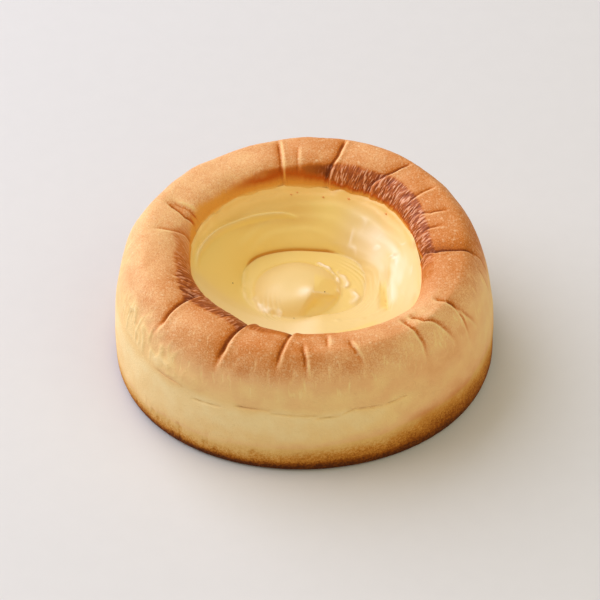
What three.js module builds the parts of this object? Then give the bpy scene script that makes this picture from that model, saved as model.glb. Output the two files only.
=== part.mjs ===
// A cream-filled brioche bun: a round bun baked in a ring, whose sunken top holds custard cream.
// Millimetres, +Z up. The origin is the middle of the flat base, and the front faces -Y.
// Angles are in degrees round the bun, counterclockwise from +X, so -90 is the front.
import * as THREE from "three";
import { mergeVertices } from "three/addons/utils/BufferGeometryUtils.js";

// Driving dimensions
const bun = {
  radius: 51.4, // at the waist
  height: 38, // to the crest of the rim
  waist: 5, // height of the widest circle
  base: 49.2, // radius of the flat that it rests on
  crest: 42.2, // radius of the rim's highest circle
  fullness: 2.1, // of the shoulder between the waist and the crest; 2 is an ellipse
};
const well = {
  radius: 31, // where the cream meets the wall
  waist: 24.5, // height at which the wall stands upright
  foot: 24, // radius of the floor
  floor: 9, // height of the floor
};
const cream = {
  rim: 29.7, // height of its edge
  floor: 16.5, // height of the scooped bowl's floor
  gap: 0.3, // between the cream and the dough
};

// Unevenness: each lobe is a wave round the bun, with its crest at an angle
const outlineLobes = [
  { waves: 2, size: 1.05, at: 11 },
  { waves: 3, size: 0.65, at: -28 },
];
const leanLobes = [ // at the top only: the rim leans to the left and is narrower from side to side
  { waves: 1, size: 0.8, at: 175 },
  { waves: 2, size: 0.3, at: 90 },
];
const heightLobes = [
  { waves: 1, size: 0.25, at: -50 },
  { waves: 2, size: 0.75, at: 25 },
  { waves: 3, size: 0.35, at: 57 },
];
const mouthBays = [ // the well's mouth is wider or narrower round these angles, over half the width stated
  { at: -38, size: 2.8, width: 26 },
  { at: 12, size: -1, width: 22 },
  { at: -125, size: -1.8, width: 32 },
];
const creamRimLobes = [
  { waves: 3, size: 0.8, at: 20 },
];

// Creases across the rim, from one angle and radius to another, with their depth
const creases = [
  { from: [101, 32], to: [100, 44], depth: 1.1 },
  { from: [78, 32], to: [74, 45], depth: 1.5 },
  { from: [57, 33], to: [47, 45], depth: 1.4 },
  { from: [33, 37], to: [32, 45], depth: 0.6 },
  { from: [24, 34], to: [17, 42], depth: 0.7 },
  { from: [12, 34], to: [9, 39], depth: 0.6 },
  { from: [-5, 32], to: [-3, 48], depth: 1.6 },
  { from: [-32, 40], to: [-29, 50], depth: 1.1 },
  { from: [-46, 37], to: [-36, 50], depth: 1.2 },
  { from: [-50, 37], to: [-48, 50], depth: 1.2 },
  { from: [-73, 38], to: [-71, 49], depth: 0.9 },
  { from: [-90, 39], to: [-89, 50], depth: 0.9 },
  { from: [-97, 33], to: [-99, 49], depth: 1.1 },
  { from: [-116, 33], to: [-119, 48], depth: 1.7 },
  { from: [-145, 35], to: [-143, 48], depth: 1.7 },
  { from: [170, 33], to: [173, 41], depth: 0.8 },
  { from: [157, 32], to: [158, 43], depth: 1.4 },
];
const creaseWidth = 0.9; // half width of the sharp fold
const puffWidth = 4.5; // half width of the soft valley on both sides of it
const puffShare = 0.35; // depth of that valley as a share of the fold's
const creaseFade = 3.5; // length over which a fold fades out at its ends
const foldFoot = 18; // height on the side below which there is no fold
const ringCore = new THREE.Vector2(42, 22); // circle inside the rim that folds sink towards

// The scooped bowl in the cream, the dollop on its floor and the edge that a knife left on its back wall
const bowl = { x: -0.3, y: 5.5, width: 17.2, depth: 13.5, power: 2.6 }; // floor, as a rounded oblong
const bowlWall = { spread: 1.9, frontLeft: 1.3, frontRight: 0.65, back: 0.8 }; // below 1, steep at its foot
const dollop = { x: -2.4, y: 2.8, width: 12.2, depth: 11.4, tipX: 0, tipY: -2.6, height: 5.4, power: 1.8 };
const scoop = { ledge: -2.4, slope: 0.4, left: -3, width: 5, drop: 0.45 }; // below the dollop's ledge
const knifeEdge = { from: [171, 30], to: [94, 24.4], height: 0.9, width: 3 };

// Mesh steps
const around = 132;
const creamAround = 90;
const steps = { corner: 5, shoulder: 9, rim: 10, wall: 4, bowlWall: 8, bowlFloor: 11 };
const gather = { share: 0.7, reach: 4 }; // pulls the angular steps in towards each crease

const crustMaterial = new THREE.MeshStandardMaterial({ color: 0xd99a58, roughness: 0.6, metalness: 0 });
const creamMaterial = new THREE.MeshStandardMaterial({ color: 0xf2d488, roughness: 0.3, metalness: 0 });

const radians = THREE.MathUtils.degToRad;
const degrees = THREE.MathUtils.radToDeg;
const { smoothstep, lerp, clamp } = THREE.MathUtils;

// Smallest turn from one angle to another, from -180 to 180
function turn(from, to) {
  return THREE.MathUtils.euclideanModulo(to - from + 180, 360) - 180;
}

// Sum of the lobes at an angle
function uneven(lobes, angle) {
  return lobes.reduce((sum, lobe) => sum + lobe.size * Math.cos(lobe.waves * radians(angle - lobe.at)), 0);
}

// How far the mouth's bays move a place in or near the well outwards
function mouthShift(radius, angle) {
  const bay = ({ at, size, width }) => size * Math.exp(-((turn(at, angle) / width) ** 2));
  const inner = Math.min(1, radius / (well.foot - cream.gap));
  return mouthBays.reduce((sum, place) => sum + bay(place), 0) * inner;
}

// Radius of the cream's edge at an angle
function creamEdge(angle) {
  return well.radius - cream.gap + mouthShift(well.radius, angle);
}

// A quarter of a superellipse between two points, which leaves the first along or across the radius
function quarter(from, to, power, count, alongRadius) {
  return Array.from({ length: count }, (_, i) => {
    const t = ((i + 1) / count) * (Math.PI / 2);
    const rise = Math.sin(t) ** (2 / power);
    const fall = 1 - Math.max(0, Math.cos(t)) ** (2 / power);
    return new THREE.Vector2(
      lerp(from.x, to.x, alongRadius ? rise : fall),
      lerp(from.y, to.y, alongRadius ? fall : rise),
    );
  });
}

// The bun's section: base, side, rim and well, from the middle of the base to the middle of the well
function bunSection() {
  const axis = new THREE.Vector2(0, 0);
  const edge = new THREE.Vector2(bun.base, 0);
  const waist = new THREE.Vector2(bun.radius, bun.waist);
  const crest = new THREE.Vector2(bun.crest, bun.height);
  const mouth = new THREE.Vector2(well.radius, well.waist);
  const floor = new THREE.Vector2(well.foot, well.floor);
  return [
    axis,
    edge,
    ...quarter(edge, waist, 4, steps.corner, true),
    ...quarter(waist, crest, bun.fullness, steps.shoulder, false),
    ...quarter(crest, mouth, 2.8, steps.rim, true),
    ...quarter(mouth, floor, 2.4, steps.wall, false),
    new THREE.Vector2(0, well.floor),
  ];
}

// How far a fold or its soft valley has sunk the rim at an angle and radius
function creaseDepth(angle, radius) {
  return creases.reduce((deepest, { from, to, depth }) => {
    const along = clamp((radius - from[1]) / (to[1] - from[1]), -0.3, 1.3);
    const offset = Math.abs(radians(turn(lerp(from[0], to[0], along), angle))) * radius;
    const inner = smoothstep(radius, from[1] - creaseFade, from[1]);
    const outer = 1 - smoothstep(radius, to[1] - creaseFade, to[1]);
    const fold = Math.exp(-offset / creaseWidth);
    const valley = puffShare * Math.exp(-((offset / puffWidth) ** 2));
    return Math.max(deepest, depth * inner * outer * Math.max(fold, valley));
  }, 0);
}

// The angle of a step round the bun, pulled towards the creases near it
function gathered(angle) {
  return creases.reduce((sum, { from, to }) => {
    const away = turn((from[0] + to[0]) / 2, angle);
    return sum - gather.share * away * Math.exp(-((away / gather.reach) ** 2));
  }, angle);
}

// How far a place is beyond the edge of the bowl's floor, as a share of the floor's reach there
function beyondFloor(x, y) {
  const across = Math.abs((x - bowl.x) / bowl.width) ** bowl.power;
  const along = Math.abs((y - bowl.y) / bowl.depth) ** bowl.power;
  return (across + along) ** (1 / bowl.power) - 1;
}

// Radius at which the bowl's floor ends, found by halving
function floorEdge(angle) {
  let inside = 0;
  let outside = well.radius;
  for (let i = 0; i < 24; i++) {
    const middle = (inside + outside) / 2;
    const [x, y] = polar(middle, angle, 0);
    if (beyondFloor(x, y) < 0) inside = middle;
    else outside = middle;
  }
  return inside;
}

// Height of the cream's scooped bowl, with its knife edge and dollop
function creamHeight(x, y) {
  const radius = Math.hypot(x, y);
  const angle = degrees(Math.atan2(y, x));
  const beyond = Math.max(0, beyondFloor(x, y));
  const short = Math.max(0, 1 - radius / creamEdge(angle));
  const climb = beyond / (beyond + bowlWall.spread * short);
  const front = lerp(bowlWall.frontLeft, bowlWall.frontRight, smoothstep(x, -6, 5));
  const curve = lerp(front, bowlWall.back, smoothstep(y, -8, 12));
  const rise = cream.rim + uneven(creamRimLobes, angle) - cream.floor;
  return cream.floor + rise * climb ** curve + knifeEdgeHeight(angle, radius) + dollopHeight(x, y);
}

// The step that the knife left, which runs inwards round the back wall and fades at its ends
function knifeEdgeHeight(angle, radius) {
  const { from, to, height, width } = knifeEdge;
  const share = turn(from[0], angle) / turn(from[0], to[0]);
  const line = lerp(from[1], to[1], clamp(share, 0, 1));
  const ends = smoothstep(share, -0.15, 0.1) * (1 - smoothstep(share, 0.8, 1.1));
  const above = smoothstep(radius, line - 0.5, line + 0.5);
  return height * ends * above * Math.exp(-Math.max(0, radius - line) / width);
}

// The dollop is a low dome with its tip off the middle and one flank scooped away below a ledge
function dollopHeight(x, y) {
  const size = new THREE.Vector2(dollop.width, dollop.depth);
  const tip = new THREE.Vector2(dollop.tipX - dollop.x, dollop.tipY - dollop.y).divide(size);
  const away = new THREE.Vector2(x - dollop.tipX, y - dollop.tipY).divide(size);
  const reach = Math.sqrt(tip.dot(away) ** 2 + away.lengthSq() * (1 - tip.lengthSq())) - tip.dot(away);
  const share = reach > 0 ? away.lengthSq() / reach : 0;
  const dome = Math.max(0, 1 - share ** dollop.power);
  const ledge = scoop.ledge + scoop.slope * Math.max(0, x - dollop.tipX);
  const below = smoothstep(ledge - y, -0.5, 1.5) * smoothstep(x, scoop.left, scoop.left + scoop.width);
  return dollop.height * dome * (1 - scoop.drop * below);
}

// The cream's section: its hidden underside in the well, then its top, which creamGeometry shapes
function creamSection() {
  const rim = new THREE.Vector2(well.radius - cream.gap, cream.rim);
  const mouth = new THREE.Vector2(well.radius - cream.gap, well.waist);
  const floor = new THREE.Vector2(well.foot - cream.gap, well.floor + cream.gap);
  const wall = quarter(mouth, floor, 2.4, steps.wall, false).reverse();
  const count = steps.bowlWall + steps.bowlFloor;
  const inwards = (_, i) => new THREE.Vector2(rim.x * (1 - (i + 1) / count), cream.rim);
  const top = Array.from({ length: count }, inwards);
  return [new THREE.Vector2(0, floor.y), ...wall, mouth, rim, ...top];
}

// Turns a section round the Z axis, and places each vertex by a rule of its index in the section,
// its radius, angle and height
function revolve(section, count, rule) {
  const geometry = new THREE.LatheGeometry(section, count).rotateX(Math.PI / 2);
  geometry.deleteAttribute("normal");
  geometry.deleteAttribute("uv");
  const position = geometry.getAttribute("position");
  const point = new THREE.Vector3();
  for (let i = 0; i < position.count; i++) {
    point.fromBufferAttribute(position, i);
    const radius = Math.hypot(point.x, point.y);
    const angle = radius > 0.01 ? degrees(Math.atan2(point.y, point.x)) : 0;
    position.setXYZ(i, ...rule(i % section.length, radius, angle, point.z));
  }
  return mergeVertices(geometry, 1e-3);
}

function polar(radius, angle, height) {
  return [radius * Math.cos(radians(angle)), radius * Math.sin(radians(angle)), height];
}

// The dough: its outline and height vary round the bun, and folds sink the rim towards its core
function bunGeometry() {
  return revolve(bunSection(), around, (_, radius, angle, height) => {
    const place = gathered(angle);
    const outward = smoothstep(radius, well.radius, bun.radius);
    const upward = (height / bun.height) * smoothstep(radius, well.radius, bun.crest);
    const lean = uneven(leanLobes, place) * (height / bun.height);
    const mouth = mouthShift(radius, place) * (1 - smoothstep(radius, well.radius + 1, bun.crest + 8));
    const r = radius + (uneven(outlineLobes, place) + lean) * outward + mouth;
    const z = height + uneven(heightLobes, place) * upward;
    const sink = creaseDepth(place, radius) * smoothstep(height, foldFoot, foldFoot + 8);
    const inward = new THREE.Vector2(r, z).sub(ringCore).normalize().multiplyScalar(-sink);
    return polar(r + inward.x, place, z + inward.y);
  });
}

// The cream: its top's rings run from the rim to the floor's edge, then to the middle
function creamGeometry() {
  const section = creamSection();
  const rim = section.length - steps.bowlWall - steps.bowlFloor - 1;
  return revolve(section, creamAround, (index, radius, angle, height) => {
    if (index < rim) return polar(radius + mouthShift(radius, angle), angle, height);
    const step = index - rim;
    const edge = floorEdge(angle);
    const place = step < steps.bowlWall
      ? lerp(creamEdge(angle), edge, step / steps.bowlWall)
      : lerp(edge, 0, (step - steps.bowlWall) / steps.bowlFloor);
    const [x, y] = polar(place, angle, 0);
    return [x, y, creamHeight(x, y)];
  });
}

function piece(name, geometry, material) {
  const mesh = new THREE.Mesh(geometry, material);
  mesh.name = name;
  return mesh;
}

const part = new THREE.Group();
part.add(piece("bun", bunGeometry(), crustMaterial));
part.add(piece("custard", creamGeometry(), creamMaterial));

// The middle of the base's outline is the origin
const middle = new THREE.Box3().setFromObject(part).getCenter(new THREE.Vector3());
for (const mesh of part.children) mesh.geometry.translate(-middle.x, -middle.y, 0);

export default part;
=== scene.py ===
"""A cream-filled brioche bun: a creased golden rim round a well of scooped custard cream.

Sizes are in millimetres, angles in degrees counterclockwise from +X, so -90 is the front.
"""

import itertools
import logging
import math
from dataclasses import dataclass, replace
from enum import Enum
from typing import Any

import bpy
import numpy as np
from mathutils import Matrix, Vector
from numpy.typing import NDArray


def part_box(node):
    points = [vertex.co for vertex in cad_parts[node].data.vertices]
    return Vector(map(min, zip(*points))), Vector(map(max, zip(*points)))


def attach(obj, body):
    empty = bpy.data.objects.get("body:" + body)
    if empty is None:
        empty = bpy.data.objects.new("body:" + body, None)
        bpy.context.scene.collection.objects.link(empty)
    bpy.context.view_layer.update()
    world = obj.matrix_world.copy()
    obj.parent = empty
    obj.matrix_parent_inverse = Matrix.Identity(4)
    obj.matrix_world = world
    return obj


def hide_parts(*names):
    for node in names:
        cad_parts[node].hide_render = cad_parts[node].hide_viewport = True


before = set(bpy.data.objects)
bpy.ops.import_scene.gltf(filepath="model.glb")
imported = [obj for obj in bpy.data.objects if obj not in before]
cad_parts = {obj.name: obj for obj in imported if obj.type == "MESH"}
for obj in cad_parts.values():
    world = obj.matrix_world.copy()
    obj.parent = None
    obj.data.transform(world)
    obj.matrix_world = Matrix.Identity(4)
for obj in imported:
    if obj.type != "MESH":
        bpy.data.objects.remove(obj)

Array = NDArray[np.float64]
Tint = tuple[int, int, int]
Tones = tuple[tuple[float, Tint], ...]
Triple = tuple[float, float, float]
Station = tuple[float, float]
Stations = tuple[Station, ...]
Socket = bpy.types.NodeSocket
Node = bpy.types.Node

MM = 0.001
log = logging.getLogger("brioche_bun")


class Mask(Enum):
    """Values stored on the vertices for the materials and the relief to read."""

    BAKE = "bake_and_shade"
    CRINKLE = "crinkle"
    FOOT = "foot"
    SKIN = "skin"
    WRAP = "wrap"
    FILM = "film"
    PAINTED_SHADE_AND_HIGHLIGHT = "painted_shade_and_highlight"
    STRETCH = "stretch"
    MERIDIAN = "meridian"


class SoftSide(Enum):
    """The side on which a fold slopes down gently, seen from above."""

    LEFT = 1.0
    RIGHT = -1.0


def smoothstep(value: Array, low: Any, high: Any) -> Array:
    """Ramps smoothly from 0 at one limit to 1 at the other.

    Args:
        value: The values to ramp.
        low: Where the ramp starts.
        high: Where the ramp ends.

    Returns:
        The ramp at each value.
    """
    share = np.clip((value - low) / (high - low), 0.0, 1.0)
    return share * share * (3.0 - 2.0 * share)


def fall(value: Array, low: Any, high: Any) -> Array:
    """Ramps smoothly from 1 at one limit to 0 at the other."""
    return 1.0 - smoothstep(value, low, high)


def between(value: Array, rise: Station, drop: Station) -> Array:
    """Ramps smoothly from 0 to 1 over one range and back to 0 over a later one."""
    return smoothstep(value, *rise) * fall(value, *drop)


def above_zero(value: Array, rounding: float) -> Array:
    """Gives a value where it is above 0, and 0 below, with the corner rounded off."""
    return (value + np.sqrt(value**2 + rounding)) / 2.0


def flat(x: Array, y: Array) -> Array:
    """Gives points at height 0, for noise to read."""
    return np.stack((x, y, np.zeros_like(y)), axis=-1)


def bell(value: Array, middle: Any, width: float, power: float = 2) -> Array:
    """Falls from 1 in the middle past 1/e at the width; a higher power is flatter in the middle."""
    return np.exp(-(((value - middle) / width) ** power))


def turn(start: Any, end: Any) -> Array:
    """Gives the smallest turn from one angle to another, from -180 to 180 degrees."""
    return np.mod(np.asarray(end) - start + 180.0, 360.0) - 180.0


def round_the_bun(stations: Stations, angle: Array) -> Array:
    """Reads a value that is set at a few angles round the bun.

    Args:
        stations: Pairs of an angle and the value there.
        angle: The angles to read it at.

    Returns:
        The value at each angle, eased between the stations.
    """
    places, values = zip(*stations)
    return np.interp(angle, places, values, period=360.0)


def wound(radius: Any, angle: Array, height: Array) -> Array:
    """Gives points at radii, angles and heights round the upright axis."""
    turned = np.radians(angle)
    return np.stack((radius * np.cos(turned), radius * np.sin(turned), height), axis=-1)


def quarter(start: Station, end: Station, power: float, along: bool, count: int = 240) -> Array:
    """Draws a quarter of a superellipse between two points of a section.

    Args:
        start: Radius and height of the first point.
        end: Radius and height of the last point.
        power: How square the quarter is; 2 is an ellipse.
        along: Whether it leaves the first point along the radius.
        count: How many points it has.

    Returns:
        The points, without the first.
    """
    t = np.linspace(0.0, math.pi / 2, count + 1)[1:]
    rise = np.sin(t) ** (2 / power)
    drop = 1.0 - np.maximum(np.cos(t), 0.0) ** (2 / power)
    shares = (rise, drop) if along else (drop, rise)
    return np.column_stack([a + (b - a) * share for a, b, share in zip(start, end, shares)])


def linear(tint: Tint) -> tuple[float, float, float, float]:
    """Turns a screen colour from 0 to 255 into the linear colour that a shader takes.

    Args:
        tint: Its red, green and blue.

    Returns:
        The linear colour with full opacity.
    """
    parts = [c / 255 for c in tint]
    made = [c / 12.92 if c <= 0.04045 else ((c + 0.055) / 1.055) ** 2.4 for c in parts]
    return (made[0], made[1], made[2], 1.0)


@dataclass(frozen=True)
class Places:
    """Places on the bun, named by their angle and their point of the section."""

    angle: Array
    radius: Array
    height: Array


@dataclass(frozen=True)
class Spots:
    """Places on the cream, seen from above."""

    x: Array
    y: Array
    radius: Array
    angle: Array

    @classmethod
    def of(cls, x: Array, y: Array) -> "Spots":
        """Works out the radii and angles of places."""
        return cls(x, y, np.hypot(x, y), np.degrees(np.arctan2(y, x)))

    def points(self) -> Array:
        """Gives the places as points, for noise to read."""
        return flat(self.x, self.y)


@dataclass(frozen=True)
class Lobe:
    """A wave round the bun, with its crest at an angle."""

    waves: int
    size: float
    at: float

    def height(self, angle: Array) -> Array:
        """Gives the wave's height at each angle."""
        return self.size * np.cos(np.radians(self.waves * (angle - self.at)))


@dataclass(frozen=True)
class Bay:
    """A place round the well's mouth that is wider or narrower than round."""

    at: float
    size: float
    width: float

    def height(self, angle: Array) -> Array:
        """Gives how far the mouth lies further out at each angle."""
        return self.size * bell(turn(self.at, angle), 0.0, self.width)


def uneven(lobes: tuple[Lobe | Bay, ...], angle: Array) -> Array:
    """Sums the waves or bays of an uneven outline at each angle."""
    return sum((lobe.height(angle) for lobe in lobes), np.zeros_like(angle))


@dataclass(frozen=True)
class Sector:
    """A part of the way round the bun, with soft ends."""

    at: float
    half: float

    def share(self, angle: Array) -> Array:
        """Gives 1 within the sector and 0 away from it."""
        return bell(turn(self.at, angle), 0.0, self.half, 4)


@dataclass(frozen=True)
class Patch(Sector):
    """A soft-edged patch of the side: a sector about a level."""

    level: float
    reach: float

    def cover(self, at: Places) -> Array:
        """Gives 1 within the patch and 0 away from it."""
        return self.share(at.angle) * bell(at.height, self.level, self.reach, 4)


@dataclass(frozen=True)
class Grain:
    """Smooth noise that is the same on each run."""

    seed: int

    def at(self, points: Array, size: float) -> Array:
        """Reads the noise.

        Args:
            points: Places in millimetres, with three numbers each.
            size: The grain's size in millimetres.

        Returns:
            Values from -1 to 1.
        """
        table = np.random.default_rng(self.seed).uniform(-1.0, 1.0, 4096)
        scaled = points / size
        cell = np.floor(scaled).astype(np.int64)
        share = scaled - cell
        fade = share * share * (3.0 - 2.0 * share)
        total = np.zeros(points.shape[:-1])
        for corner in itertools.product((0, 1), repeat=3):
            key = (cell + np.array(corner)) @ np.array((73, 1009, 3571)) & 4095
            weight = np.where(np.array(corner) == 1, fade, 1.0 - fade).prod(axis=-1)
            total += weight * table[key]
        return total

    def lines(self, points: Array, size: float, thin: float, power: float) -> Array:
        """Draws lines where the noise crosses 0.

        Args:
            points: Places in millimetres, with three numbers each.
            size: The grain's size in millimetres.
            thin: How thin the lines are.
            power: How sharp they are.

        Returns:
            Values from 0 to 1.
        """
        return np.maximum(0.0, 1.0 - thin * np.abs(self.at(points, size))) ** power


@dataclass(frozen=True)
class Fold:
    """A fold that baking left across the rim, along a path of angles and radii."""

    path: Stations
    depth: float
    soft: SoftSide
    slope: float = 2.0
    fade: float = 2.5
    cut: float = 0.45

    def reach(self, at: Places) -> tuple[Array, Array]:
        """Measures places from the fold.

        Args:
            at: The places.

        Returns:
            The distance across the fold, positive on its soft side, and how much of the
            fold is left where it fades out at its ends.
        """
        angles, radii = zip(*self.path)
        line = np.interp(at.radius, radii, angles)
        across = np.radians(turn(line, at.angle)) * at.radius * self.soft.value
        ends = smoothstep(at.radius, radii[0] - self.fade, radii[0] + 0.5)
        return across, ends * fall(at.radius, radii[-1] - self.fade, radii[-1] + 0.8)

    def rise(self, at: Places) -> Array:
        """Gives the fold's relief: a steep wall, a soft slope and a ridge on the steep side.

        Args:
            at: The places.

        Returns:
            The height that it adds, in millimetres.
        """
        across, ends = self.reach(at)
        cut = self.cut + 0.25 * max(0.0, self.depth - 0.6)
        steep = bell(np.maximum(-across, 0.0), 0.0, cut, 1.5)
        gentle = bell(np.maximum(across, 0.0), 0.0, self.slope, 0.9)
        ridge = 0.2 * bell(across, -1.2, 0.9)
        valley = 0.25 * bell(across, 0.0, 5.0)
        return self.depth * ends * (ridge - valley - np.where(across < 0.0, steep, gentle))

    def shade(self, at: Places) -> Array:
        """Gives how much the fold browns its cut, with painted shade in the cut and on its soft slope and
        a painted highlight on its ridge.

        Args:
            at: The places.

        Returns:
            Values up to about 1, below 0 on the ridge's painted highlight.
        """
        across, ends = self.reach(at)
        middle = 0.15 + 0.16 * self.depth
        width = 0.26 + 0.16 * self.depth + 0.07 * self.depth**2
        line = min(1.12, 0.6 + 0.5 * self.depth) * bell(across, middle, width)
        slope = 0.6 * bell(np.abs(across), 0.0, 0.75 * self.slope, 1.4) * (across > -0.1)
        light = 0.75 * bell(across, -0.75, 0.42)
        return (np.maximum(line, slope) - light) * ends * min(1.0, 0.4 + 0.4 * self.depth)


class MeshMaker:
    """Turns grids of rows and columns into closed meshes."""

    @staticmethod
    def link(name: str, mesh: bpy.types.Mesh) -> bpy.types.Object:
        """Makes an object of a mesh.

        Args:
            name: The object's name.
            mesh: The mesh.

        Returns:
            The object, linked to the scene.
        """
        made = bpy.data.objects.new(name, mesh)
        bpy.context.scene.collection.objects.link(made)
        return made

    @classmethod
    def closed(cls, name: str, grid: Array) -> bpy.types.Object:
        """Makes an object from a grid whose columns close round and whose end rows are poles.

        Args:
            name: The object's name.
            grid: Rows by columns of points in millimetres; the first and last rows are one
                point each.

        Returns:
            The object, linked to the scene.
        """
        rows, columns = grid.shape[:2]
        inner = grid[1:-1].reshape(-1, 3)
        points = np.vstack((grid[0, :1], inner, grid[-1, :1])) * MM
        index = np.arange((rows - 2) * columns).reshape(rows - 2, columns) + 1
        after = np.roll(index, -1, axis=1)
        quads = np.stack((index[:-1], after[:-1], after[1:], index[1:]), axis=-1).reshape(-1, 4)
        last = len(points) - 1
        fans = [(0, int(b), int(a)) for a, b in zip(index[0], after[0])]
        fans += [(int(a), int(b), last) for a, b in zip(index[-1], after[-1])]
        mesh = bpy.data.meshes.new(name)
        mesh.from_pydata(points.tolist(), [], quads.tolist() + fans)
        mesh.shade_smooth()
        return cls.link(name, mesh)

    @staticmethod
    def store(made: bpy.types.Object, masks: dict[Mask, Array]) -> None:
        """Stores values on each vertex of a closed grid.

        Args:
            made: The object.
            masks: What the values are, each with rows by columns of numbers or of vectors.
        """
        for mask, grid in masks.items():
            vectors = grid.ndim == 3
            inner = grid[1:-1].reshape((-1, 3) if vectors else (-1,))
            values = np.concatenate((grid[0, :1], inner, grid[-1, :1])).astype(np.float32)
            kind = "FLOAT_VECTOR" if vectors else "FLOAT"
            attribute = made.data.attributes.new(mask.value, kind, "POINT")
            attribute.data.foreach_set("vector" if vectors else "value", values.ravel())

    @staticmethod
    def normals(grid: Array) -> Array:
        """Gives the outward normals of a grid whose columns close round.

        Args:
            grid: Rows by columns of points.

        Returns:
            Unit normals, straight up or down at the poles.
        """
        wrapped = np.concatenate((grid[:, -1:], grid, grid[:, :1]), axis=1)
        round_way = (wrapped[:, 2:] - wrapped[:, :-2]) / 2.0
        normal = np.cross(round_way, np.gradient(grid, axis=0))
        length = np.linalg.norm(normal, axis=-1, keepdims=True)
        normal = normal / np.maximum(length, 1e-9)
        normal[0] = (0.0, 0.0, -1.0)
        normal[-1] = (0.0, 0.0, 1.0)
        return normal


class NodeSheet:
    """Adds and links nodes of one tree."""

    def __init__(self, tree: bpy.types.NodeTree) -> None:
        """Keeps the tree."""
        self.tree = tree

    def feed(self, node: Node, inputs: dict[Any, Any]) -> None:
        """Sets or links inputs of a node.

        Args:
            node: The node.
            inputs: Values or sockets by the input's name or place.
        """
        for key, value in inputs.items():
            if isinstance(value, Socket):
                self.tree.links.new(value, node.inputs[key])
            else:
                node.inputs[key].default_value = value

    def add(self, kind: str, inputs: dict[Any, Any] | None = None, **settings: Any) -> Node:
        """Adds a node.

        Args:
            kind: The node's type.
            inputs: Values or sockets by the input's name or place.
            **settings: The node's own settings.

        Returns:
            The node.
        """
        node = self.tree.nodes.new(kind)
        for key, value in settings.items():
            setattr(node, key, value)
        self.feed(node, inputs or {})
        return node

    def maths(self, operation: str, *terms: Any) -> Socket:
        """Adds a calculation on one to three terms, each a number or a socket."""
        return self.add("ShaderNodeMath", dict(enumerate(terms)), operation=operation).outputs[0]

    def times(self, first: Any, second: Any) -> Socket:
        """Multiplies two numbers or sockets."""
        return self.maths("MULTIPLY", first, second)

    def ramp(self, value: Socket, low: float, high: float, to: Station = (0.0, 1.0)) -> Socket:
        """Maps a range smoothly to another.

        Args:
            value: What is mapped.
            low: Start of its range.
            high: End of its range.
            to: The range that it is mapped to.

        Returns:
            The mapped value.
        """
        inputs = {"Value": value, "From Min": low, "From Max": high, "To Min": to[0], "To Max": to[1]}
        return self.add("ShaderNodeMapRange", inputs, interpolation_type="SMOOTHSTEP").outputs[0]

    def mix(self, share: Any, first: Any, second: Any) -> Socket:
        """Mixes two colours, with a share of the second."""
        inputs = {0: share, 6: first, 7: second}
        return self.add("ShaderNodeMix", inputs, data_type="RGBA").outputs[2]

    def noise(self, place: Socket, scale: Any, detail: float, distortion: float = 0.0) -> Socket:
        """Adds smooth noise.

        Args:
            place: Where it is read.
            scale: How many grains a unit of length holds.
            detail: How much finer grain it has.
            distortion: How much it is bent.

        Returns:
            Values from 0 to 1.
        """
        inputs = {"Vector": place, "Scale": scale, "Detail": detail, "Distortion": distortion}
        return self.add("ShaderNodeTexNoise", inputs).outputs[0]

    def group(self, tree: bpy.types.ShaderNodeTree, values: dict[str, float]) -> Node:
        """Places a shader group with its own values."""
        return self.add("ShaderNodeGroup", values, node_tree=tree)

    def stored(self, mask: Mask, output: str = "Fac") -> Socket:
        """Reads a value stored on the vertices of a shaded piece."""
        return self.add("ShaderNodeAttribute", attribute_name=mask.value).outputs[output]

    def named(self, mask: Mask, kind: str) -> Socket:
        """Reads a value stored on the vertices that relief moves."""
        node = self.add("GeometryNodeInputNamedAttribute", {"Name": mask.value}, data_type=kind)
        return node.outputs[0]


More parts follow.
